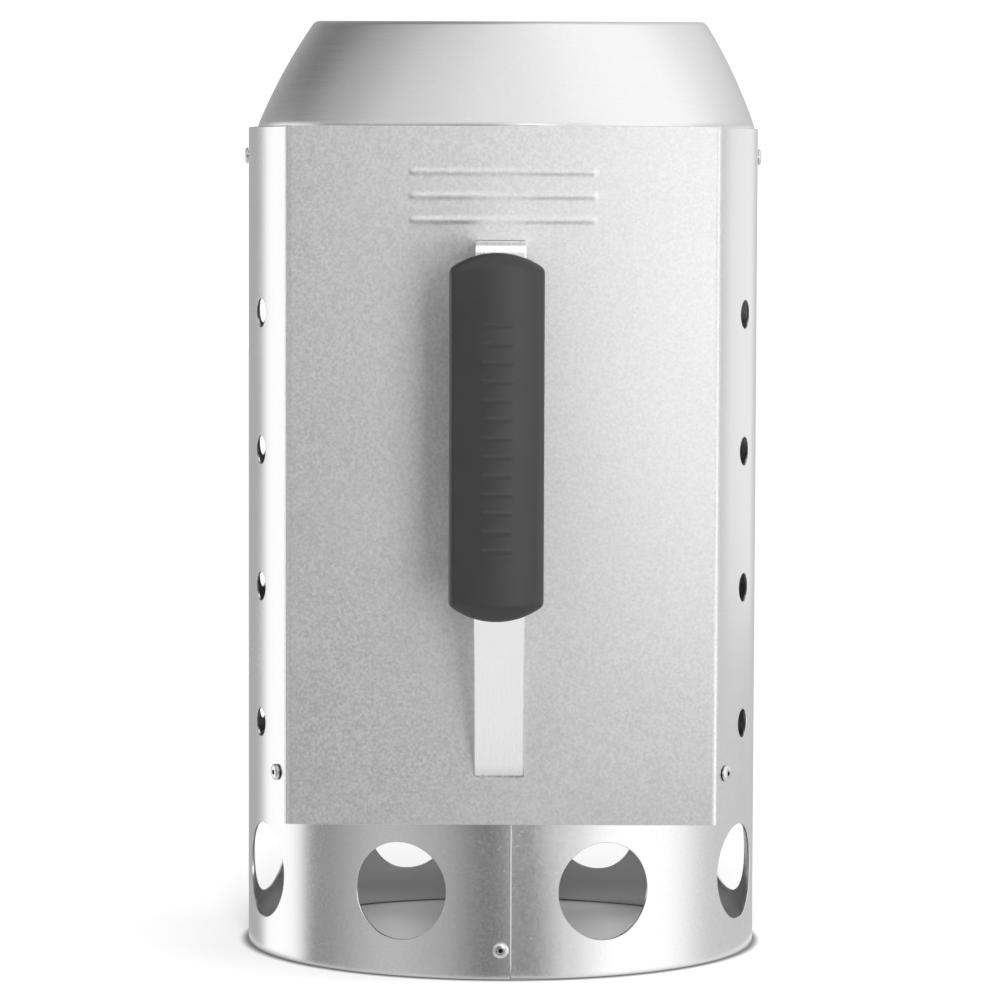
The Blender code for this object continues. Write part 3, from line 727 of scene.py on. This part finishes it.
def grip_half(outline, depths, mating_y, face_y):
    """Half of the grip: its outer face is a net of rings from the outline in to the spine line.

    depths are how far in the rings lie, as shares of the half width; face_y gives the outer face's Y at
    a point and its distance in from the outline.
    """
    made = bmesh.new()
    spine_low, spine_high = GRIP_LOW_Z + GRIP_HALF_WIDTH, GRIP_HIGH_Z - GRIP_HALF_WIDTH
    rings = [[made.verts.new((GRIP_X + x, mating_y, z)) for x, z in outline]]
    made.faces.new(rings[0])
    for share in depths:
        ring = []
        for x, z in outline:
            spine_z = min(max(z, spine_low), spine_high)
            inward = share * math.hypot(x, z - spine_z)
            point = (x * (1 - share), z + (spine_z - z) * share)
            ring.append(made.verts.new((GRIP_X + point[0], face_y(*point, inward), point[1])))
        rings.append(ring)
    for one, two in zip(rings, rings[1:]):
        for i in range(len(one)):
            j = (i + 1) % len(one)
            made.faces.new((one[i], one[j], two[j], two[i]))
    bmesh.ops.remove_doubles(made, verts=made.verts, dist=0.002 * MM)
    return made


def rolled(inward, width, depth):
    """How far a surface has fallen away at a distance in from its edge, rounded as a quarter ellipse."""
    left = max(1 - inward / width, 0.0)
    return depth * (1 - math.sqrt(1 - left * left))


def edge_roll(x, z, inward):
    """The rounding of the grip's outer edges, tighter along the sides than at the ends."""
    past_end = max(z - (GRIP_HIGH_Z - GRIP_HALF_WIDTH), (GRIP_LOW_Z + GRIP_HALF_WIDTH) - z, 0.0)
    share = past_end / max(math.hypot(past_end, x), MM)
    end = share * share
    width = GRIP_SIDE_ROLL[0] + (GRIP_END_ROLL[0] - GRIP_SIDE_ROLL[0]) * end
    depth = GRIP_SIDE_ROLL[1] + (GRIP_END_ROLL[1] - GRIP_SIDE_ROLL[1]) * end
    return rolled(inward, width, depth)


def tactile_lift(x, z):
    """Small raised bars across the middle of the grip, so that the hand finds its place."""
    pitch = (TACTILE_HIGH_Z - TACTILE_LOW_Z) / (TACTILE_COUNT - 1)
    nearest = TACTILE_LOW_Z + pitch * min(max(round((z - TACTILE_LOW_Z) / pitch), 0), TACTILE_COUNT - 1)
    past_end = max(abs(x) - TACTILE_HALF_LENGTH + TACTILE_HALF_WIDTH, 0.0)
    distance = math.hypot(past_end, z - nearest) / TACTILE_HALF_WIDTH
    return TACTILE_HEIGHT * math.cos(distance * math.pi / 2) ** 2 if distance < 1 else 0.0


def grip_front(material):
    def face_y(x, z, inward):
        crown = GRIP_CROWN * (x / GRIP_HALF_WIDTH) ** 2
        y = GRIP_FRONT_Y + TACTILE_HEIGHT + crown + edge_roll(x, z, inward)
        return y - tactile_lift(x, z)

    depths = list(GRIP_RIM_SHARES)
    depths += [0.2 + 0.8 * i / GRIP_FRONT_RINGS for i in range(GRIP_FRONT_RINGS + 1)]
    back_y = STRAP_GRIP_Y - STRAP / 2 - GAP
    made = grip_half(grip_outline(GRIP_FRONT_SPACING), depths, back_y, face_y)
    front = new_object("front", made)
    holes = bmesh.new()
    tip_y = SCREW_SEAT_Y - SCREW_LENGTH - GAP
    bore_radius = SCREW_SHANK_RADIUS + SCREW_CLEARANCE
    for z in SCREW_LEVELS:
        drill(holes, (GRIP_X, tip_y, z), (GRIP_X, back_y + SHEET, z), bore_radius, BORE_SIDES)
    carve(front, holes)
    shade(front, GRIP_SHARP_DEG)
    return settle(front, "grip_front", "grip_plastic", material)


def box_cutter(made, low, high, turn=Matrix.Identity(4)):
    low, high = Vector(low), Vector(high)
    size = Matrix.Diagonal((*(high - low), 1.0))
    bmesh.ops.create_cube(made, size=1.0, matrix=turn @ Matrix.Translation((low + high) / 2) @ size)


def grip_rear(material):
    """The rear half: grooved for the strap, cut back over its lower arm, counterbored for the screws."""
    front_y = STRAP_GRIP_Y - STRAP / 2

    def face_y(x, z, inward):
        return GRIP_BACK_Y - edge_roll(x, z, inward)

    depths = [*GRIP_RIM_SHARES, 0.25, 0.4, 0.6, 0.8, 1.0]
    rear = new_object("rear", grip_half(grip_outline(GRIP_REAR_SPACING), depths, front_y, face_y))
    groove = bmesh.new()
    box_cutter(
        groove,
        (GRIP_X - GROOVE_WIDTH / 2, front_y - SHEET, GRIP_LOW_Z - SHEET),
        (GRIP_X + GROOVE_WIDTH / 2, front_y + STRAP + GAP, GRIP_HIGH_Z + SHEET),
    )
    carve(rear, groove)
    relief = bmesh.new()
    corner = Matrix.Translation((GRIP_X, STRAP_GRIP_Y, STRAP_CORNER_Z))
    turn = corner @ Matrix.Rotation(-math.atan(lower_arm_slope()), 4, "X")
    top = STRAP / 2 + GAP
    low = (-RELIEF_SIZE / 2, -RELIEF_SIZE, top - RELIEF_SIZE)
    high = (RELIEF_SIZE / 2, RELIEF_SIZE, top)
    box_cutter(relief, low, high, turn)
    carve(rear, relief)
    bores = bmesh.new()
    seats = bmesh.new()
    for z in SCREW_LEVELS:
        front, seat = (GRIP_X, front_y - SHEET, z), (GRIP_X, SCREW_SEAT_Y, z)
        past_seat, back = (GRIP_X, SCREW_SEAT_Y + SHEET, z), (GRIP_X, GRIP_BACK_Y + SHEET, z)
        drill(bores, front, past_seat, SCREW_SHANK_RADIUS + SCREW_CLEARANCE, BORE_SIDES)
        drill(seats, seat, back, SCREW_HEAD_RADIUS + SCREW_SEAT_CLEARANCE, FASTENER_SIDES)
    carve(rear, bores)
    carve(rear, seats)
    shade(rear, GRIP_SHARP_DEG)
    return settle(rear, "grip_rear", "grip_plastic", material)


def rivet_profile(stack):
    """A set blind rivet: domed head with the broken mandrel in it, stem, and a bulb behind the stack."""
    head = GAP + RIVET_HEAD_HEIGHT
    back = -stack - GAP
    crown_radius = MANDREL_RADIUS + MANDREL_HOLE_BREAK
    points = [
        (0.0, head - MANDREL_DEPTH),
        (MANDREL_RADIUS - MANDREL_HOLE_BREAK, head - MANDREL_DEPTH),
        (MANDREL_RADIUS, head - MANDREL_DEPTH + MANDREL_HOLE_BREAK),
        (MANDREL_RADIUS, head - 0.06 * MM),
        (crown_radius, head),
    ]
    dome_radius = RIVET_HEAD_RADIUS - crown_radius
    dome_height = RIVET_HEAD_HEIGHT - RIVET_RIM
    for i in range(1, RIVET_DOME_STEPS + 1):
        angle = math.pi / 2 * i / RIVET_DOME_STEPS
        radius = crown_radius + dome_radius * math.sin(angle)
        points.append((radius, GAP + RIVET_RIM + dome_height * math.cos(angle)))
    points += [
        (RIVET_HEAD_RADIUS - 0.05 * MM, GAP),
        (RIVET_STEM_RADIUS, GAP),
        (RIVET_STEM_RADIUS, back),
        (RIVET_BULB_RADIUS, back - 0.3 * MM),
        (RIVET_BULB_RADIUS, back - 0.6 * RIVET_BULB_LENGTH),
        (0.0, back - RIVET_BULB_LENGTH),
    ]
    return points


def add_rivet(node, stack, place, outward, materials):
    """Its materials are the alloy's, and a near-black one that paints shade into the rivet's hole, on the
    mandrel and on the hole's walls.
    """
    rivet = new_object(node, revolve(rivet_profile(stack), FASTENER_SIDES))
    shade(rivet)
    rivet.location = place
    rivet.rotation_mode = "QUATERNION"
    rivet.rotation_quaternion = Vector(outward).to_track_quat("Z", "Y")
    settle(rivet, node, "rivet_alloy", *materials)
    # the faces inside the mandrel hole, its walls and the mandrel's end alike, take the near-black painted
    # shade
    for face in rivet.data.polygons:
        middle = face.center
        in_hole = math.hypot(middle.x, middle.y) < MANDREL_RADIUS and middle.z > 0
        face.material_index = 1 if in_hole else 0


def wall_rivet(node, degrees, z, stack, materials, surface=BODY_RADIUS):
    add_rivet(node, stack, polar(surface, degrees, z), polar(1.0, degrees), materials)


def rivets(materials):
    for name, degrees in CONE_RIVET_DEGS.items():
        stack = BODY_RADIUS - SKIRT_RADIUS + SHEET - polar(CONE_OFFSET_X, degrees).x
        wall_rivet("cone_rivet_" + name, degrees, CONE_RIVET_Z, stack, materials)
    for name, degrees in GRATE_RIVET_DEGS.items():
        stack = BODY_RADIUS - GRATE_RADIUS + GRATE_SHEET
        wall_rivet("grate_rivet_" + name, degrees, GRATE_RIVET_Z, stack, materials)
    for node, z in SEAM_RIVETS.items():
        wall_rivet(node, 0, z, 2 * SHEET + GAP, materials)
    for node, z in STRAP_RIVETS.items():
        stack = STRAP + GAP + 2 * SHEET + GAP
        wall_rivet(node, STRAP_DEG, z, stack, materials, BODY_RADIUS + GAP + STRAP)
    for side, degrees in {"left": -SHIELD_RIVET_DEG, "right": SHIELD_RIVET_DEG}.items():
        for level, z in SHIELD_RIVET_LEVELS.items():
            place = polar(BODY_RADIUS - SHEET, degrees, z)
            node = f"shield_rivet_{side}_{level}"
            add_rivet(node, 2 * SHEET + GAP, place, -polar(1.0, degrees), materials)


def screw_profile():
    """A pan head that drops by up to 0.6 of its height toward its rim, and a shank with a short point."""
    top = GAP + SCREW_HEAD_HEIGHT
    drop = 0.6 * SCREW_HEAD_HEIGHT
    points = [(0.0, top)]
    for i in range(1, SCREW_DOME_STEPS + 1):
        angle = math.radians(SCREW_DOME_DEG) * i / SCREW_DOME_STEPS
        points.append((SCREW_HEAD_RADIUS * math.sin(angle), top - drop * (1 - math.cos(angle))))
    points += [
        (SCREW_HEAD_RADIUS, GAP + SCREW_RIM),
        (SCREW_HEAD_RADIUS, GAP),
        (SCREW_SHANK_RADIUS, GAP),
        (SCREW_SHANK_RADIUS, -SCREW_LENGTH + SCREW_POINT),
        (0.0, -SCREW_LENGTH),
    ]
    return points


def grip_screws(material):
    """Pan-head screws with a cross recess, driven from behind."""
    top = GAP + SCREW_HEAD_HEIGHT
    low = (-SCREW_RECESS_REACH, -SCREW_RECESS_HALF_WIDTH, top - SCREW_RECESS_DEPTH)
    high = (SCREW_RECESS_REACH, SCREW_RECESS_HALF_WIDTH, top + MM)
    for node, z in zip(("grip_screw_lower", "grip_screw_upper"), SCREW_LEVELS):
        screw = new_object(node, revolve(screw_profile(), FASTENER_SIDES))
        for turn_deg in (45, 135):
            recess = bmesh.new()
            box_cutter(recess, low, high, Matrix.Rotation(math.radians(turn_deg), 4, "Z"))
            carve(screw, recess)
        shade(screw)
        screw.location = (GRIP_X, SCREW_SEAT_Y, z)
        screw.rotation_mode = "QUATERNION"
        screw.rotation_quaternion = Vector((0, 1, 0)).to_track_quat("Z", "Y")
        settle(screw, node, "screw_steel", material)


# ---- materials ----

PLAIN = (1.0, 1.0, 1.0)


def new_material(name, metallic):
    """A material, its node tree and its shader."""
    made = bpy.data.materials.new(name)
    made.use_nodes = True
    shader = made.node_tree.nodes["Principled BSDF"]
    shader.inputs["Metallic"].default_value = metallic
    return made, made.node_tree, shader


def noise(tree, size, detail, stretch=PLAIN):
    """Noise whose features are about this many metres across, drawn out by the stretch."""
    place = tree.nodes.new("ShaderNodeTexCoord")
    mapping = tree.nodes.new("ShaderNodeMapping")
    mapping.inputs["Scale"].default_value = [1 / (size * s) for s in stretch]
    texture = tree.nodes.new("ShaderNodeTexNoise")
    texture.inputs["Scale"].default_value = 1.0
    texture.inputs["Detail"].default_value = detail
    tree.links.new(place.outputs["Object"], mapping.inputs["Vector"])
    tree.links.new(mapping.outputs["Vector"], texture.inputs["Vector"])
    return texture.outputs["Fac"]


def spread(tree, source, low, high):
    """Maps the useful middle of a noise to a range of values."""
    ramp = tree.nodes.new("ShaderNodeMapRange")
    ramp.inputs["From Min"].default_value = 0.3
    ramp.inputs["From Max"].default_value = 0.7
    ramp.inputs["To Min"].default_value = low
    ramp.inputs["To Max"].default_value = high
    tree.links.new(source, ramp.inputs["Value"])
    return ramp.outputs["Result"]


def combine(tree, operation, one, two=0.0):
    """A sum or other operation on two values, each a number or another node's output."""
    node = tree.nodes.new("ShaderNodeMath")
    node.operation = operation
    for socket, value in zip(node.inputs, (one, two)):
        if isinstance(value, float):
            socket.default_value = value
        else:
            tree.links.new(value, socket)
    return node.outputs["Value"]


def tint(tree, shader, value, colour=PLAIN):
    """Colours the surface by a brightness times a fixed tint."""
    scale = tree.nodes.new("ShaderNodeVectorMath")
    scale.operation = "SCALE"
    scale.inputs["Vector"].default_value = colour
    tree.links.new(value, scale.inputs["Scale"])
    tree.links.new(scale.outputs["Vector"], shader.inputs["Base Color"])


def bump(tree, shader, height, distance):
    node = tree.nodes.new("ShaderNodeBump")
    node.inputs["Distance"].default_value = distance
    tree.links.new(height, node.inputs["Height"])
    tree.links.new(node.outputs["Normal"], shader.inputs["Normal"])


def coated_sheet(name, tone, roughness, mottle):
    """Aluminium-coated sheet: fine mottled grain over faint clouds, slightly uneven gloss."""
    made, tree, shader = new_material(name, 1.0)
    grain = noise(tree, 0.9 * MM, 4.0)
    clouds = noise(tree, 40 * MM, 3.0)
    grain_tone = spread(tree, grain, tone * (1 - mottle), tone * (1 + mottle))
    cloud_tone = spread(tree, clouds, 0.993, 1.007)
    tint(tree, shader, combine(tree, "MULTIPLY", grain_tone, cloud_tone), (1.0, 1.0, 1.005))
    gloss = combine(tree, "ADD", spread(tree, grain, -0.03, 0.03), spread(tree, clouds, -0.01, 0.01))
    tree.links.new(combine(tree, "ADD", gloss, roughness), shader.inputs["Roughness"])
    bump(tree, shader, grain, 0.0008 * MM)
    return made


def spun_sheet(name, tone, roughness):
    """The cone: the same coating drawn smoother, with faint marks of spinning round it."""
    made, tree, shader = new_material(name, 1.0)
    grain = noise(tree, 1.1 * MM, 4.0)
    lines = noise(tree, 0.5 * MM, 2.0, (90.0, 90.0, 1.0))
    tint(tree, shader, spread(tree, grain, tone * 0.985, tone * 1.015))
    tree.links.new(spread(tree, lines, roughness - 0.02, roughness + 0.03), shader.inputs["Roughness"])
    bump(tree, shader, lines, 0.002 * MM)
    return made


def dull_sheet(name):
    """The grate: plain mill-finish sheet with a darker, blotchy skin."""
    made, tree, shader = new_material(name, 1.0)
    grain = noise(tree, 1.6 * MM, 5.0)
    blotches = noise(tree, 14 * MM, 4.0)
    tone = combine(tree, "MULTIPLY", spread(tree, grain, 0.5, 0.56), spread(tree, blotches, 0.92, 1.06))
    tint(tree, shader, tone, (1.0, 0.995, 0.985))
    tree.links.new(spread(tree, blotches, 0.4, 0.52), shader.inputs["Roughness"])
    bump(tree, shader, grain, 0.006 * MM)
    return made


def plated_strap(name):
    """Bright zinc plate with faint lengthwise polishing lines."""
    made, tree, shader = new_material(name, 1.0)
    lines = noise(tree, 0.35 * MM, 2.0, (1.0, 60.0, 60.0))
    tint(tree, shader, spread(tree, lines, 0.885, 0.895))
    tree.links.new(spread(tree, lines, 0.26, 0.28), shader.inputs["Roughness"])
    return made


def bright_alloy(name, tone, roughness):
    """Turned and plated fasteners: bright, with tiny handling marks."""
    made, tree, shader = new_material(name, 1.0)
    marks = noise(tree, 0.4 * MM, 4.0)
    tint(tree, shader, spread(tree, marks, tone * 0.95, tone * 1.03))
    tree.links.new(spread(tree, marks, roughness - 0.04, roughness + 0.06), shader.inputs["Roughness"])
    bump(tree, shader, marks, 0.004 * MM)
    return made


def mandrel_and_hole_shade(name):
    """Near-black painted shade for a rivet's hole, laid on the broken mandrel deep in it and on the hole's
    walls.
    """
    made, tree, shader = new_material(name, 0.0)
    tint(tree, shader, spread(tree, noise(tree, 0.5 * MM, 2.0), 0.004, 0.008))
    shader.inputs["Roughness"].default_value = 0.6
    shader.inputs["Specular IOR Level"].default_value = 0.1
    return made


def moulded_plastic(name):
    """Black phenolic moulding with a very fine satin texture."""
    made, tree, shader = new_material(name, 0.0)
    texture = noise(tree, 0.22 * MM, 3.0)
    clouds = noise(tree, 9 * MM, 2.0)
    tint(tree, shader, spread(tree, clouds, 0.009, 0.011))
    tree.links.new(spread(tree, texture, 0.36, 0.44), shader.inputs["Roughness"])
    bump(tree, shader, texture, 0.006 * MM)
    return made


# ---- the stage: floor, studio light and camera ----

# The camera's place from the foot of the axis, its downward tilt and its roll
CAMERA_PLACE = (-1.1 * MM, -1620.0 * MM, 266.5 * MM)
CAMERA_TILT_DEG = 3.87
CAMERA_ROLL_DEG = -0.21
CAMERA_LENS = 164.2
SENSOR_WIDTH = 36.0

# Places of the lights: distance from the axis, degrees from the front toward +X, height
FRONT_SOFTBOX = (0.85, 10, 0.25)
REAR_SOFTBOX = (2.5, 137, 0.19)
LOW_FILL = (1.2, 0, 0.36)
OVERHEAD_SPREAD_DEG = 70

# Brightness of the studio round the object, at (degrees from the front toward +X, brightness)
EYE_LEVEL_PANELS = (
    *((-180, 0.24), (-140, 0.22), (-133, 0.70), (-104, 0.70), (-97, 0.14), (-50, 0.33), (-30, 0.27)),
    *((-3, 0.08), (28, 0.42), (52, 0.74), (78, 0.72), (112, 0.38), (150, 0.34), (180, 0.24)),
)
OVERHEAD_PANELS = (
    *((-180, 0.2), (-130, 0.10), (-97, 0.26), (-60, 0.42), (0, 0.53)),
    *((60, 0.64), (95, 0.66), (135, 0.48), (180, 0.32)),
)
# How far up a direction points (its Z) where one zone of the studio starts and ends fading into the next
FLOOR_TO_EYE_LEVEL = (-0.6, -0.25)
EYE_LEVEL_TO_OVERHEAD = (0.08, 0.42)
FLOOR_GLOW = 0.42  # brightness of the studio far below the horizon
STUDIO_STRENGTH = 2.2
BACKDROP_STRENGTH = 1.1
FLOOR_RADIUS = 6.0
FLOOR_MIDDLE_MARGIN = 5.0 * MM
# Contact shadow painted on the floor: how far it reaches either side of the body's edge, and its darkest
# tone
FLOOR_SHADOW_WIDTH = 4.0 * MM
FLOOR_SHADOW_TONE = 0.25


def floor_material():
    """Pale paper, painted darker in a narrow ring under the body's edge as a contact shadow."""
    made, tree, shader = new_material("pale_floor", 0.0)
    shader.inputs["Roughness"].default_value = 0.9
    shader.inputs["Specular IOR Level"].default_value = 0.0
    reach = tree.nodes.new("ShaderNodeVectorMath")
    reach.operation = "LENGTH"
    tree.links.new(tree.nodes.new("ShaderNodeTexCoord").outputs["Object"], reach.inputs["Vector"])
    # darkens the floor's colour near the body's edge: a painted contact shadow
    from_edge = combine(tree, "SUBTRACT", reach.outputs["Value"], BODY_RADIUS)
    past_painted_shadow = climb(tree, combine(tree, "ABSOLUTE", from_edge), 0.0, FLOOR_SHADOW_WIDTH)
    ring = combine(tree, "ADD", combine(tree, "MULTIPLY", past_painted_shadow, 1 - FLOOR_SHADOW_TONE), FLOOR_SHADOW_TONE)
    paper = spread(tree, noise(tree, 0.2, 2.0), 0.90, 0.91)
    tint(tree, shader, combine(tree, "MULTIPLY", ring, paper))
    return made


def floor():
    """A wide pale floor, and its middle under the body, which alone is seen in reflections."""
    material = floor_material()
    middle_radius = BODY_RADIUS + FLOOR_MIDDLE_MARGIN
    discs = {"floor_middle": (0.0, middle_radius), "floor": (middle_radius, FLOOR_RADIUS)}
    for name, radii in discs.items():
        made = new_object(name, revolve([(radius, 0.0) for radius in radii], FLOOR_SIDES))
        made.location = AXIS
        made.data.materials.append(material)
        made.visible_glossy = name == "floor_middle"


def area_light(name, place, size, energy, aim_z):
    """A softbox turned to a height on the axis; its place is a distance from it, an angle and a height."""
    data = bpy.data.lights.new(name, "AREA")
    data.shape = "RECTANGLE"
    data.size, data.size_y = size
    data.energy = energy
    light = bpy.data.objects.new(name, data)
    light.location = AXIS + polar(*place)
    aim = AXIS + Vector((0.0, 0.0, aim_z))
    light.rotation_mode = "QUATERNION"
    light.rotation_quaternion = (light.location - aim).to_track_quat("Z", "Y")
    light.visible_camera = False
    bpy.context.scene.collection.objects.link(light)
    return light


def ring_ramp(tree, direction, stops):
    """Brightness around the studio: stops are (degrees from the front toward +X, brightness)."""
    turn = tree.nodes.new("ShaderNodeMapping")
    turn.inputs["Rotation"].default_value = (0.0, 0.0, math.radians(90))
    gradient = tree.nodes.new("ShaderNodeTexGradient")
    gradient.gradient_type = "RADIAL"
    ramp = tree.nodes.new("ShaderNodeValToRGB")
    ramp.color_ramp.interpolation = "EASE"
    elements = ramp.color_ramp.elements
    while len(elements) > 1:
        elements.remove(elements[-1])
    elements[0].position = 0.0
    for i, (degrees, brightness) in enumerate(stops):
        element = elements[0] if i == 0 else elements.new((degrees + 180) / 360)
        element.color = (brightness, brightness, brightness, 1.0)
    tree.links.new(direction, turn.inputs["Vector"])
    tree.links.new(turn.outputs["Vector"], gradient.inputs["Vector"])
    tree.links.new(gradient.outputs["Fac"], ramp.inputs["Fac"])
    return ramp.outputs["Color"]


def climb(tree, height, start, end):
    """How far a direction's height has passed from the start to the end, softly from 0 to 1."""
    node = tree.nodes.new("ShaderNodeMapRange")
    node.interpolation_type = "SMOOTHSTEP"
    node.inputs["From Min"].default_value = start
    node.inputs["From Max"].default_value = end
    tree.links.new(height, node.inputs["Value"])
    return node.outputs["Result"]


def blend(tree, factor, one, two):
    """Mixes two brightnesses, each a number or another node's colour."""
    mix = tree.nodes.new("ShaderNodeMix")
    mix.data_type = "RGBA"
    tree.links.new(factor, mix.inputs[0])
    for socket, colour in zip(mix.inputs[6:8], (one, two)):
        if isinstance(colour, float):
            socket.default_value = (colour, colour, colour, 1.0)
        else:
            tree.links.new(colour, socket)
    return mix.outputs[2]


def studio_world():
    """Soft panels all round at eye level and another ring of them overhead; a white backdrop to the eye."""
    world = bpy.data.worlds.new("studio")
    bpy.context.scene.world = world
    world.use_nodes = True
    tree = world.node_tree
    tree.nodes.clear()
    direction = tree.nodes.new("ShaderNodeTexCoord").outputs["Generated"]
    split = tree.nodes.new("ShaderNodeSeparateXYZ")
    tree.links.new(direction, split.inputs["Vector"])
    height = split.outputs["Z"]
    studio = tree.nodes.new("ShaderNodeBackground")
    studio.inputs["Strength"].default_value = STUDIO_STRENGTH
    rings = blend(
        tree,
        climb(tree, height, *EYE_LEVEL_TO_OVERHEAD),
        ring_ramp(tree, direction, EYE_LEVEL_PANELS),
        ring_ramp(tree, direction, OVERHEAD_PANELS),
    )
    all_round = blend(tree, climb(tree, height, *FLOOR_TO_EYE_LEVEL), FLOOR_GLOW, rings)
    tree.links.new(all_round, studio.inputs["Color"])
    backdrop = tree.nodes.new("ShaderNodeBackground")
    backdrop.inputs["Strength"].default_value = BACKDROP_STRENGTH
    backdrop.inputs["Color"].default_value = (1.0, 1.0, 1.0, 1.0)
    seen = tree.nodes.new("ShaderNodeLightPath")
    choose = tree.nodes.new("ShaderNodeMixShader")
    output = tree.nodes.new("ShaderNodeOutputWorld")
    tree.links.new(seen.outputs["Is Camera Ray"], choose.inputs["Fac"])
    tree.links.new(studio.outputs["Background"], choose.inputs[1])
    tree.links.new(backdrop.outputs["Background"], choose.inputs[2])
    tree.links.new(choose.outputs["Shader"], output.inputs["Surface"])


def lights():
    """A tall softbox in front, a wide one behind, a fill for the floor, and soft light from above.

    The front one casts no shadows. The fill and the overhead light aren't seen in reflections.
    """
    front = area_light("front_softbox", FRONT_SOFTBOX, size=(0.16, 0.45), energy=0.66, aim_z=0.2)
    front.data.use_shadow = False
    rear = area_light("rear_softbox", REAR_SOFTBOX, size=(1.6, 0.62), energy=1.3, aim_z=0.19)
    rear.visible_diffuse = False
    fill = area_light("low_fill", LOW_FILL, size=(0.3, 0.2), energy=16.0, aim_z=0.03)
    fill.visible_glossy = False
    data = bpy.data.lights.new("overhead", "SUN")
    data.energy = 0.6
    data.angle = math.radians(OVERHEAD_SPREAD_DEG)
    overhead = bpy.data.objects.new("overhead", data)
    overhead.visible_glossy = False
    bpy.context.scene.collection.objects.link(overhead)


def camera():
    data = bpy.data.cameras.new("camera")
    data.sensor_width = SENSOR_WIDTH
    data.lens = CAMERA_LENS
    data.clip_end = 20.0
    made = bpy.data.objects.new("camera", data)
    made.location = AXIS + Vector(CAMERA_PLACE)
    made.rotation_euler = (math.radians(90 - CAMERA_TILT_DEG), math.radians(CAMERA_ROLL_DEG), 0.0)
    bpy.context.scene.collection.objects.link(made)
    bpy.context.scene.camera = made


def main():
    camera()
    floor()
    studio_world()
    lights()
    bpy.context.scene.view_settings.view_transform = "Standard"
    body_shell(coated_sheet("body_sheet", tone=0.66, roughness=0.24, mottle=0.03))
    top_cone(spun_sheet("cone_sheet", tone=0.66, roughness=0.28))
    charcoal_grate(dull_sheet("grate_sheet"))
    heat_shield(coated_sheet("shield_sheet", tone=0.67, roughness=0.38, mottle=0.10))
    handle_strap(plated_strap("strap_plate"))
    plastic = moulded_plastic("grip_moulding")
    grip_front(plastic)
    grip_rear(plastic)
    rivets((bright_alloy("rivet_alloy", tone=0.62, roughness=0.18), mandrel_and_hole_shade("rivet_mandrel_painted_shade")))
    grip_screws(bright_alloy("screw_plate", tone=0.62, roughness=0.26))


main()
